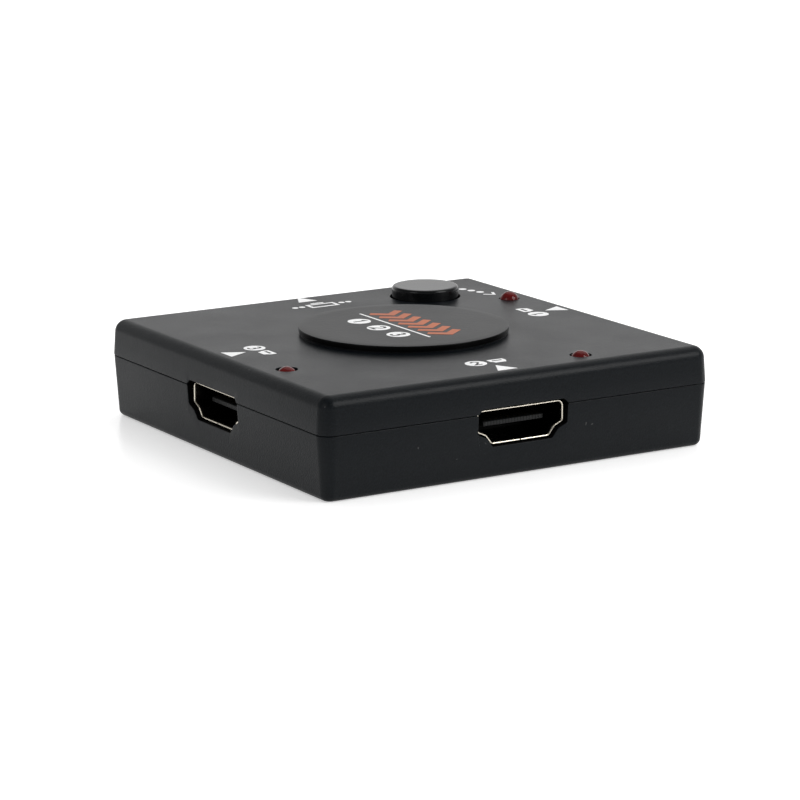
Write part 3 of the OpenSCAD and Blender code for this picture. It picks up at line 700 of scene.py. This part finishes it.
def upperShell():
    # top, rounding and wall down to the border, up into the lip's groove and in under the roof; then the
    # badge's seat, the holes and the sleeves
    shape = caseShape
    seam, bendRadius, roof = seamHeight + shape["seamGap"], shape["topRound"], caseTop - shape["roof"]
    shoulder, head = caseHole[3:5] + (0, socketShape["headGap"])
    notch = np.interp(seam, [shoulder[1], head[1]], [shoulder[0], head[0]])
    right = np.array([head, (notch, seam)])
    grooveSide = lipSide + shape["lipGap"]
    grooveTop = seam + shape["lipHeight"] + shape["lipGap"]

    def sideAt(z):
        return shape["corner"] - (z - seam) * tilt

    def innerRows(columns):
        return [
            rowOf(columns["s"], grooveSide, columns["z"]),
            rowOf(columns["along"], grooveSide, grooveTop),
            rowOf(columns["along"], innerWall, grooveTop),
            rowOf(columns["along"], innerWall, roof),
            rowOf(columns["along"], shape["flatRing"], roof),
        ]

    bendLow = caseTop - bendRadius
    middle = sideAt(bendLow) - bendRadius / np.cos(np.radians(shape["draft"]))
    bend = arc((middle, bendLow), bendRadius, 90, shape["draft"], steps=14)
    profile = [(shape["flatRing"], caseTop), (middle - shape["flatEdge"], caseTop), *bend]
    skin = roundTheCase(right, shape["headBend"], -1, profile, sideAt, innerRows)
    holes = [(centre, shape["lampHole"]) for centre in lampCentres]
    holes.append((buttonCentre, shape["buttonHole"]))
    wider = [(centre, radius + 2 * shape["holeEdge"]) for centre, radius in holes]
    seat = shape["seatRadius"]
    seatWall = turned([(seat, caseTop), (seat, caseTop + shape["seatHeight"])])
    sleeves = [(centre, shape["sleeveRadius"]) for centre in bossCentres]
    patches = [
        gridPatch(skin),
        sheetPatch(skin[0, :, :2], wider + [((0, 0), seat)], caseTop),
        sheetPatch(skin[-1, :, :2], holes + sleeves, roof),
        gridPatch(seatWall),
        capPatch(seatWall[-1]),
    ]
    patches += [gridPatch(turned(holeEdge(radius, roof), centre)) for centre, radius in holes]
    gap = shape["sleeveGap"]
    sleeveProfile = [
        (shape["sleeveRadius"], roof),
        (shape["sleeveRadius"], boardTop + gap),
        (shape["neckRadius"] + gap, boardTop + gap),
        (shape["neckRadius"] + gap, neckTop + gap),
    ]
    return patches + cornerPosts(sleeveProfile)


def cutShadeFaces(middles, normals):
    # the faces round the sockets that look into the cut-outs, which take the painted shade
    picked = np.zeros(len(middles), bool)
    margin, height = caseShape["cutMargin"], middles[:, 2]
    level = (height > boardTop - margin) & (height < seamHeight + margin)
    for turn, shift in enumerate(socketShifts):
        right, outward = sideAxes(turn)
        near = np.abs(middles @ right - shift) < caseHole[:, 0].max() + caseShape["edge"]
        inWall = middles @ outward > caseHalf - caseShape["wall"]
        picked |= level & near & inWall & (np.abs(normals @ outward) < caseShape["cutFacing"])
    return picked


lower = addPiece(
    "caseLower", lowerShell(), casePlastic, replaced=["bottom_shell"],
)
upper = addPiece(
    "caseUpper", upperShell(), casePlastic, replaced=["top_shell"],
)
# the cut-out faces round the sockets get painted shade
for shell in (lower, upper):
    paintFaces(shell, cutPaintedShade, cutShadeFaces)
print("case shells made")


# Badge disc

badgeShape = {"edge": 0.12, "flat": 14.0, "steps": 180, "rimFacing": 0.5}
badgeLow, badgeTop = boxHeights("badge_disc")


def badgeDisc():
    # flat underside, small lower and larger upper rounding, flat top
    radius, edge, flat = boxOf("badge_disc")[1][0], badgeShape["edge"], badgeShape["flat"]
    lower = arc((radius - edge / 2, badgeLow + edge / 2), edge / 2, -90, 0, steps=3)
    upper = arc((radius - edge, badgeTop - edge), edge, 0, 90, steps=5)
    return turnedSolid([(flat, badgeLow), *lower, *upper, (flat, badgeTop)], badgeShape["steps"])


def rimFaces(middles, normals):
    # the faces that look sideways, which take the smoother rim material with painted shade
    return np.abs(normals[:, 2]) < badgeShape["rimFacing"]


disc = addPiece(
    "badgeDisc", badgeDisc(), badgePlastic, replaced=["badge_disc"],
)
# the disc's rim is smoother, and darker by painted shade
paintFaces(disc, badgeRimGlossAndShade, rimFaces)


# Select button: cap with a skirt, a flange under the roof and a stem

buttonShape = {
    "radius": 5.25, "taper": 0.08, "edge": 0.45, "skin": 1.2, "stem": 2.0,
    "flangeGap": 0.3, "flangeThick": 0.9, "steps": 120,
}


def selectButton():
    # stem, inside of the cap, flange, then the skirt up to the rounded rim
    shape = buttonShape
    low, high = boxOf("select_button")
    stemLow, top, flange = low[2], high[2], (high - low)[0] / 2
    flangeHigh = caseTop - caseShape["roof"] - shape["flangeGap"]
    flangeLow = flangeHigh - shape["flangeThick"]
    under = top - shape["skin"]
    inside = shape["radius"] - shape["skin"]
    shoulder = shape["radius"] - shape["taper"]
    upper = arc((shoulder - shape["edge"], top - shape["edge"]), shape["edge"], 0, 90, steps=8)
    profile = [
        (shape["stem"] / 2, stemLow),
        (shape["stem"], stemLow),
        (shape["stem"], under),
        (inside, under),
        (inside, flangeLow),
        (flange, flangeLow),
        (flange, flangeHigh),
        (shape["radius"], flangeHigh),
        *upper,
        (shoulder - 2 * shape["edge"], top),
    ]
    return turnedSolid(profile, shape["steps"], buttonCentre)


addPiece(
    "selectButton", selectButton(), buttonPlastic, "button",
    replaced=["select_button"],
)


# Snap dome of the push switch: a thin cap of a ball, which flattens as the button is pressed

domeShape = {"thick": 0.1, "crown": 89.0, "rings": 10, "steps": 48, "pressed": 0.54}


def snapDome(low, high):
    # the inner ball's arc from crown to rim, then the outer ball's arc from rim to crown
    reach, rise = (high - low)[0] / 2, (high - low)[2]
    outer = (reach ** 2 + rise ** 2) / (2 * rise)
    inner = outer - domeShape["thick"]
    centre, crown, rings = (0, high[2] - outer), domeShape["crown"], domeShape["rings"]
    innerRim, outerRim = [np.degrees(np.arcsin((outer - rise) / ball)) for ball in (inner, outer)]
    profile = [*arc(centre, inner, crown, innerRim, rings), *arc(centre, outer, outerRim, crown, rings)]
    return turnedSolid(profile, domeShape["steps"], boxCentre("tact_dome"))


domeLow, domeHigh = boxOf("tact_dome")
dome = addPiece(
    "snapDome", snapDome(domeLow, domeHigh), switchSteel, replaced=["tact_dome"],
)
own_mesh(dome)
print("badge, button and dome made")


# Lamps: epoxy bodies with a collar and a round nose

lampShape = {"radius": 1.5, "collar": 1.9, "collarHeight": 1.0, "tip": 4.0, "steps": 48}


def lampLens(node):
    # collar, straight barrel and a quarter circle that stops just short of the axis
    low, high = boxHeights(node)
    radius, collar = lampShape["radius"], lampShape["collar"]
    collarTop = low + lampShape["collarHeight"]
    nose = arc((0, high - radius), radius, 0, 90 - lampShape["tip"], steps=16)
    profile = [
        (radius / 2, low),
        (collar, low),
        (collar, collarTop),
        (radius, collarTop),
        *nose,
    ]
    return turnedSolid(profile, lampShape["steps"], boxCentre(node))


for node in lampNodes:
    nose = node.replace("lens", "nose")
    addPiece(nose, lampLens(node), lampRed, replaced=[node])
print("lamps made")


# Sockets: a sheet folded round the opening, open at a slit, with a back plate, springs and solder legs.
# They are drawn with x to the right, y back from the mouth and z up from the board.

def socketSheet():
    # the sheet's section, with a round front edge, is carried along the sheet's middle line; the back edge
    # stands further forward below the height of the contacts' slot
    shape = socketShape
    half = shape["sheet"] / 2
    right = grown(socketLine, half)[:len(rightHalf)]
    shoulder = shape["slotHigh"] + np.array([-1, 1]) * shape["slotBlend"]
    slotEnd = np.stack([np.interp(shoulder, right[:2, 1], right[:2, 0]), shoulder], -1)
    rightSide = np.vstack([[(shape["slit"] / 2, right[0, 1])], right[:1], slotEnd, right[1:]])
    line = roundedLine(np.vstack([rightSide, rightSide[::-1] * (-1, 1)]), shape["bend"], steps=6)
    lip = arc((0, half), half, 180, 360, steps=8)  # across the sheet and back from the mouth
    across = np.concatenate([[-half], lip[:, 0], [half]])
    depth = np.repeat(np.append(np.append(0, lip[:, 1]), 0)[:, None], len(line), 1)
    depth[[0, -1]] = np.where(line[:, 1] < shape["slotHigh"], shape["slotStart"], shape["length"])
    flat = line - across[:, None, None] * leftMitres(line)
    return np.stack([flat[..., 0], depth, flat[..., 1]], -1)


def backPlate():
    # the opening's outline, cut off level over the contacts' slot
    shape = socketShape
    outline = grown(socketLine, shape["plateOverlap"])
    footHalf = np.interp(shape["slotHigh"], outline[:2, 1], outline[:2, 0])
    outline[[0, -1]] = [(footHalf, shape["slotHigh"]), (-footHalf, shape["slotHigh"])]
    ends = (shape["length"] - shape["sheet"], shape["length"] - shape["inset"])
    return solidPatches(np.stack([standingRing(outline, depth) for depth in ends]))


def springsAndLegs():
    # on either side of the middle, one spring under the roof and solder legs down from the side
    shape = socketShape
    hip, shoulder, head = rightHalf[2:]
    legTop, roof = hip[1] + shape["legOverlap"], head[1]
    springEnd = shape["springStart"] + shape["springLength"]
    patches = []
    for sign in (-1, 1):
        springLeft, springRight = sign * shape["springAt"] + np.array([-1, 1]) * shape["springWidth"] / 2
        patches += boxPatches(
            (springLeft, shape["springStart"], roof - shape["springDip"]),
            (springRight, springEnd, roof + shape["springRise"]),
        )
        legSides = sign * (shoulder[0] + np.array([shape["inset"], shape["sheet"] - shape["inset"]]))
        for depth in shape["legs"]:
            low = (legSides.min(), depth - shape["legWidth"] / 2, -shape["legLow"])
            high = (legSides.max(), depth + shape["legWidth"] / 2, legTop)
            patches += boxPatches(low, high)
    return patches


def socketPatches():
    # the folded sheet, closed at both edges of its slit, then its plate, springs and legs
    sheet = socketSheet()
    folded = gridPatch(np.concatenate([sheet, sheet[:1]]), loop=False)
    return [folded, capPatch(sheet[:, 0]), capPatch(sheet[:, -1])] + backPlate() + springsAndLegs()


def addToSocket(turn, ending, patches, material, nodeEnding):
    # the patches are moved to the socket's place in the front, then turned to its side
    name = socketNames[turn]
    place = (socketShifts[turn], -mouthAt, boardTop)
    placed = turnedTo([(points + place, faces) for points, faces in patches], turn)
    return addPiece(name + ending, placed, material, replaced=[name + nodeEnding])


def behindMouth(piece, turn):
    # how far each vertex lies behind the socket's mouth
    return mouthAt - pointsOf(piece) @ sideAxes(turn)[1]


# the sheets' nickel is darkened by painted shade that follows each point's depth behind the mouth
for turn in range(len(socketNames)):
    sheet = addToSocket(turn, "_sheet", socketPatches(), socketNickelPaintedShade, "_shell")
    addTone(sheet, "depth", behindMouth(sheet, turn))


# Socket insides: an insulator whose plain tongue carries painted rib highlights, and contacts that run back
# and down to the board

insideShape = {
    "tongueWidth": 9.9, "tongueThick": 0.8, "tongueHigh": 2.6, "nose": 1.9,
    "bevelBack": 0.22, "bevelUp": 0.12, "rib": 0.5, "ribColumns": 8, "ribHighlightBase": 0.6, "ribHighlightSwing": 0.4,
    "blockStart": 7.0, "blockEnd": 11.0, "clear": 0.05,
    "footWidth": 10.5, "footStart": 9.05, "footHigh": 1.05,
    "count": 10, "pitch": 1.0, "contactWidth": 0.3, "contactThick": 0.15, "tip": 2.35, "ramp": 0.3,
    "bendAt": 9.7, "contactEnd": 12.0,
}


def insulatorPatches():
    # the tongue's bevelled section is carried across the socket; block and foot are plain mouldings
    shape = insideShape
    half, nose, start, end = shape["tongueThick"] / 2, shape["nose"], shape["blockStart"], shape["blockEnd"]
    top = np.array([(start, half), (nose + shape["bevelBack"], half), (nose, half - shape["bevelUp"])])
    section = np.vstack([top, top[::-1] * (1, -1)])
    columns = shape["ribColumns"] * round(shape["tongueWidth"] / shape["rib"])
    across = np.linspace(-0.5, 0.5, columns + 1) * shape["tongueWidth"]
    tongue = np.empty((len(across), len(section), 3))
    tongue[..., 0] = across[:, None]
    tongue[..., 1:] = section + (0, shape["tongueHigh"])
    outline = grown(socketLine, -shape["clear"])
    block = np.stack([standingRing(outline, depth) for depth in (start, end)])
    footHalf, footEnd = shape["footWidth"] / 2, end - socketShape["inset"]
    foot = boxPatches((-footHalf, shape["footStart"], 0), (footHalf, footEnd, shape["footHigh"]))
    return solidPatches(tongue) + solidPatches(block) + foot


def contactPatches():
    # each contact's side view, with a sloping tip, is as thick as the contact is wide
    shape = insideShape
    thick, tip, turnAt, end = shape["contactThick"], shape["tip"], shape["bendAt"], shape["contactEnd"]
    half = shape["contactWidth"] / 2
    patches = []
    for count, sense in ((shape["count"], 1), (shape["count"] - 1, -1)):  # above and below the tongue
        face = shape["tongueHigh"] + sense * shape["tongueThick"] / 2
        inner, outer = sorted((face, face + sense * thick))
        tips = [(tip + (shape["ramp"] if height != face else 0), height) for height in (inner, outer)]
        side = np.array([
            tips[0], (turnAt, inner), (turnAt, 0), (end, 0),
            (end, thick), (turnAt + thick, thick), (turnAt + thick, outer), tips[1],
        ])
        for place in (np.arange(count) - (count - 1) / 2) * shape["pitch"]:
            upright = prismPatches(side, place - half, place + half)
            patches += [(points[:, [2, 0, 1]], faces) for points, faces in upright]
    return patches


def paintedRibHighlights(mould, turn):
    # painted highlights: a cosine along the tongue's front edge, pale where its ribs would catch the light,
    # and nothing elsewhere
    along = pointsOf(mould) @ sideAxes(turn)[0] - socketShifts[turn]
    front = behindMouth(mould, turn) < insideShape["nose"] + socketShape["inset"]
    wave = np.cos(2 * np.pi * along / insideShape["rib"])
    return (insideShape["ribHighlightBase"] + insideShape["ribHighlightSwing"] * wave) * front


# the pale stripes on each tongue's nose are painted highlights
for turn in range(len(socketNames)):
    mould = addToSocket(turn, "_mould", insulatorPatches(), socketPlastic, "_insulator")
    addTone(mould, "tone", paintedRibHighlights(mould, turn))
    addToSocket(turn, "_pins", contactPatches(), contactGold, "_contacts")
print("sockets made")


# Printed marks: thin prisms whose outlines are drawn in each side's own frame, u to the right and v inwards

printShape = {"thick": 0.02, "sink": 0.005, "overprint": 0.01, "row": -24.2, "arrowHalf": 1.65}
digitLines = {  # on a box two wide and four high
    "1": np.array([(-0.55, 0.95), (0.15, 1.6), (0.15, -1.6)]),
    "2": np.vstack([arc((0, 0.7), 0.9, 170, -35, steps=12), [(-0.95, -1.55), (1.0, -1.55)]]),
    "3": np.vstack([arc((-0.05, 0.8), 0.8, 150, -80, 10), arc((-0.05, -0.8), 0.9, 80, -150, 10)]),
}


def strokeOutline(line, pen):
    # closed outline of a line drawn with a broad pen: out along its left side and back along its right
    line = np.array(line, float)
    side = leftMitres(line) * pen / 2
    return np.vstack([line + side, (line - side)[::-1]])


def levelLine(centre, half, pen):
    # a straight stroke along u
    return strokeOutline([(centre[0] - half, centre[1]), (centre[0] + half, centre[1])], pen)


def digitOutline(digit, centre, size, pen):
    # the digit's line, scaled to half the given size and drawn with a pen
    return strokeOutline(np.array(centre) + digitLines[digit] * size / 2, pen)


def arrowOutline(centre, base, tip):
    # a triangle from its base to its tip
    half = printShape["arrowHalf"]
    return np.array([(centre - half, base), (centre + half, base), (centre, tip)])


def ringPatches(outline, pen, low, high):
    # closed line drawn with a broad pen: the pen's upright section carried along the outline
    section = [(1, low), (1, high), (-1, high), (-1, low), (1, low)]
    rows = [levelRing(grown(outline, side * pen / 2), height) for side, height in section]
    return [gridPatch(np.stack(rows))]


def printed(outlines, turn, low, high):
    # a prism on each outline, turned to its side
    return [patch for outline in outlines for patch in turnedTo(prismPatches(outline, low, high), turn)]


def printHeights(surface):
    # the ink reaches a little into the surface that it lies on
    return surface - printShape["sink"], surface + printShape["thick"]


inputMark = {
    "sides": [(1, 2.2, "1"), (0, -1.0, "2"), (3, 0.0, "3")],  # quarter turns, shift to the right, digit
    "arrow": (-29.8, -26.6), "dot": 1.6, "dotSteps": 40, "dotShift": -1.75,
    "digitSize": 1.14, "digitPen": 0.33,
    "signShift": 1.9, "signScale": (0.19, 0.42), "slotHalf": 0.8, "slotUp": 0.2, "slotPen": 0.4,
}


def inputMarks(low, high):
    # an arrow, a numbered dot and a socket's outline for each input
    shape, row = inputMark, printShape["row"]
    signMiddle = (0, (rightHalf[0, 1] + rightHalf[-1, 1]) / 2)
    white, black = [], []
    for turn, shift, digit in shape["sides"]:
        dotCentre = (shift + shape["dotShift"], row)
        signCentre = (shift + shape["signShift"], row)
        arrow = arrowOutline(shift, *shape["arrow"])
        dot = circle(dotCentre, shape["dot"], shape["dotSteps"])
        sign = (socketLine - signMiddle) * shape["signScale"] + signCentre
        white += printed([arrow, dot, sign], turn, low, high)
        number = digitOutline(digit, dotCentre, shape["digitSize"], shape["digitPen"])
        slot = levelLine((signCentre[0], row + shape["slotUp"]), shape["slotHalf"], shape["slotPen"])
        black += printed([number, slot], turn, low, high + printShape["overprint"])
    return white, black


outputMark = {
    "side": 2, "arrow": (-27.6, -31.0), "arrowShift": 0.5,
    "dots": (-4.7, -3.5, 3.5, 4.7), "dot": 0.5, "dotSteps": 24,
    "screen": (4.4, 1.9), "screenUp": 0.2, "footHalf": 1.1, "footDrop": 0.77, "pen": 0.48,
}


def outputMarks(low, high):
    # a screen on its foot between dots, and an arrow, for the output
    shape, row = outputMark, printShape["row"]
    size, middle = np.array(shape["screen"]), np.array([0, row + shape["screenUp"]])
    edge = np.array([(-1, -1), (1, -1), (1, 1), (-1, 1)]) * size / 2 + middle
    footMiddle = middle - (0, size[1] / 2 + shape["footDrop"])
    outlines = [circle((u, row), shape["dot"], shape["dotSteps"]) for u in shape["dots"]]
    outlines.append(levelLine(footMiddle, shape["footHalf"], shape["pen"]))
    outlines.append(arrowOutline(shape["arrowShift"], *shape["arrow"]))
    screen = turnedTo(ringPatches(edge, shape["pen"], low, high), shape["side"])
    return screen + printed(outlines, shape["side"], low, high)


stepMark = {
    "start": (24.8, 24.0), "end": (27.0, 16.8), "dots": (0.8, 2.6, 4.4), "dot": 0.62, "dotSteps": 28,
    "tip": 7.3, "headLength": 1.3, "headHalf": 1.1, "pen": 0.45,
}


def stepMarks(low, high):
    # three dots and an arrowhead beside the button, for stepping through the inputs
    shape = stepMark
    start, end = np.array(shape["start"]), np.array(shape["end"])
    way = (end - start) / np.linalg.norm(end - start)
    across = np.array([-way[1], way[0]])
    outlines = [circle(start + way * step, shape["dot"], shape["dotSteps"]) for step in shape["dots"]]
    tip = start + way * shape["tip"]
    foot, half = tip - way * shape["headLength"], across * shape["headHalf"]
    outlines.append(strokeOutline([foot + half, tip, foot - half], shape["pen"]))
    return printed(outlines, 0, low, high)


badgePrint = {
    "turn": 3, "chevrons": 7, "pitch": 2.75, "start": -7.4, "row": 2.3,
    "half": 2.5, "lean": 2.0, "pen": 1.3,
    "ruleAt": (-0.4, -1.35), "ruleHalf": 10.0, "rulePen": 0.36,
    "numbers": -4.3, "spacing": 5.6, "dot": 1.75, "dotSteps": 40, "digitSize": 1.3, "digitPen": 0.4,
}


def badgeMarks(low, high):
    # a row of chevrons over a rule and three numbered dots: u runs along the disc's reading line
    shape = badgePrint
    tips = shape["start"] + shape["pitch"] * np.arange(shape["chevrons"])
    chevron = np.array([(-shape["lean"], shape["half"]), (0, 0), (-shape["lean"], -shape["half"])])
    orange = [strokeOutline(chevron + (tip, shape["row"]), shape["pen"]) for tip in tips]
    centres = [(side * shape["spacing"], shape["numbers"]) for side in (-1, 0, 1)]
    white = [levelLine(shape["ruleAt"], shape["ruleHalf"], shape["rulePen"])]
    white += [circle(centre, shape["dot"], shape["dotSteps"]) for centre in centres]
    black = [
        digitOutline(digit, centre, shape["digitSize"], shape["digitPen"])
        for digit, centre in zip("123", centres)
    ]
    overHigh = high + printShape["overprint"]
    inks = [(orange, high), (white, high), (black, overHigh)]
    return [printed(outlines, shape["turn"], low, top) for outlines, top in inks]


roofHeights = printHeights(caseTop)
whiteRoof, blackRoof = inputMarks(*roofHeights)
whiteRoof += outputMarks(*roofHeights) + stepMarks(*roofHeights)
orangeDisc, whiteDisc, blackDisc = badgeMarks(*printHeights(badgeTop))
addPiece("printWhite", whiteRoof + whiteDisc, whiteInk)
addPiece("printBlack", blackRoof + blackDisc, blackInk)
addPiece("printOrange", orangeDisc, orangeInk)
print("marks printed")


# Camera at the photograph's view

photoView = {
    "azimuth": -31.22, "elevation": 12.95, "roll": -0.23, "distance": 495.9, "target": (0.08, 1.24, 4.22),
    "lens": 149.77, "sensor": 36.0, "clipStart": 10.0,
}


def standAt(item, right, up, back, place):
    # the item's own axes and its place, in metres
    pose = np.eye(4)
    pose[:3] = np.column_stack([right, up, back, place])
    item.matrix_world = Matrix(pose.tolist())


def addCamera(view):
    # the level axes turn by the azimuth, tip up by the elevation and lean by the roll
    azimuth, elevation, roll = np.radians([view["azimuth"], view["elevation"], view["roll"]])
    level = np.array([np.cos(azimuth), np.sin(azimuth), 0])
    away = np.array([np.sin(azimuth), -np.cos(azimuth), 0])
    back = np.cos(elevation) * away + np.sin(elevation) * np.array([0, 0, 1])
    rise = np.cross(back, level)
    right = np.cos(roll) * level + np.sin(roll) * rise
    up = np.cos(roll) * rise - np.sin(roll) * level
    data = bpy.data.cameras.new("photoCamera")
    data.lens = view["lens"]
    data.sensor_width = view["sensor"]
    data.clip_start = view["clipStart"] * mm
    camera = addObject("photoCamera", data)
    standAt(camera, right, up, back, (np.array(view["target"]) + view["distance"] * back) * mm)
    bpy.context.scene.camera = camera


addCamera(photoView)


# Floor, backdrop and lights

studio = {
    "floorSize": 3.0, "floorColour": (0.93, 0.93, 0.93), "floorShade": 0.99, "floorTones": (0.3, 0.7),
    "floorCloud": 400, "floorDetail": 1.0, "floorRough": 0.28, "floorSheen": 0.45,
    "floorGlow": (0.4, 0.22),  # seen by the camera, and mirrored in the object
    "fill": 0.64, "room": 0.35, "backdropWay": (0.515, 0.857, 0), "backdropEdge": (0.42, 0.8),
    "ceiling": 0.2, "ceilingFrom": (0.32, 0.6),
    "lamps": [  # name, place, size, watts
        ("topLamp", (0.4, 0.3, 0.8), 0.9, 1.8),
        ("leftLamp", (-0.8, -0.2, 0.45), 0.4, 0.9),
        ("frontLamp", (0.5, -0.68, 0.62), 0.56, 4.9),
    ],
}


def rayKinds(tree):
    # rays from the camera, and rays from glossy or clear surfaces; all others light the object
    path = tree.nodes.new("ShaderNodeLightPath").outputs
    mirrored = addNode(tree, "ShaderNodeMath", {0: path["Is Glossy Ray"], 1: path["Is Transmission Ray"]})
    mirrored.operation = "MAXIMUM"
    return path["Is Camera Ray"], mirrored.outputs[0]


def addFloor():
    # a pale sheet that glows a little, so that it looks as white as its surroundings
    half = studio["floorSize"] / 2
    corners = [(-half, -half, 0), (half, -half, 0), (half, half, 0), (-half, half, 0)]
    material, tree, shader = newMaterial("paleFloor")
    cloud = addNoise(tree, studio["floorCloud"], studio["floorDetail"])
    light = studio["floorColour"]
    dark = tuple(level * studio["floorShade"] for level in light)
    camera, mirrored = rayKinds(tree)
    seen, reflected = studio["floorGlow"]
    setInputs(shader, {
        "Base Color": addRamp(tree, cloud, studio["floorTones"], (dark, light)),
        "Roughness": studio["floorRough"],
        "Specular IOR Level": studio["floorSheen"],
        "Emission Color": (1, 1, 1, 1),
        "Emission Strength": addRange(tree, camera, addRange(tree, mirrored, 0.0, reflected), seen),
    })
    mesh = bpy.data.meshes.new("floor")
    mesh.from_pydata(corners, [], [range(len(corners))])
    mesh.materials.append(material)
    addObject("floor", mesh)


def addWorld():
    # white to the camera and a plain fill for the light on the object; glossy and clear surfaces see
    # a white backdrop that dims overhead and away from its middle
    world = bpy.data.worlds.new("studioWorld")
    bpy.context.scene.world = world
    world.use_nodes = True
    tree = world.node_tree
    way = tree.nodes.new("ShaderNodeTexCoord").outputs["Generated"]
    height = addNode(tree, "ShaderNodeSeparateXYZ", {"Vector": way}).outputs["Z"]
    facing = addNode(tree, "ShaderNodeVectorMath", {0: way, 1: studio["backdropWay"]})
    facing.operation = "DOT_PRODUCT"
    level = addRange(tree, facing.outputs["Value"], studio["room"], 1.0, *studio["backdropEdge"])
    shown = addRange(tree, height, level, studio["ceiling"], *studio["ceilingFrom"])
    camera, mirrored = rayKinds(tree)
    strength = addRange(tree, camera, addRange(tree, mirrored, studio["fill"], shown), 1.0)
    setInputs(tree.nodes["Background"], {"Color": (1, 1, 1, 1), "Strength": strength})


def addLamp(name, place, size, watts):
    # a square lamp that faces the middle of the floor
    data = bpy.data.lights.new(name, "AREA")
    data.shape = "SQUARE"
    data.size = size
    data.energy = watts
    back = np.array(place) / np.linalg.norm(place)
    right = np.cross((0, 1, 0), back)
    right /= np.linalg.norm(right)
    standAt(addObject(name, data), right, np.cross(back, right), back, place)


addFloor()
addWorld()
for lamp in studio["lamps"]:
    addLamp(*lamp)
bpy.context.scene.view_settings.view_transform = "Standard"
print("camera, floor and lights set")
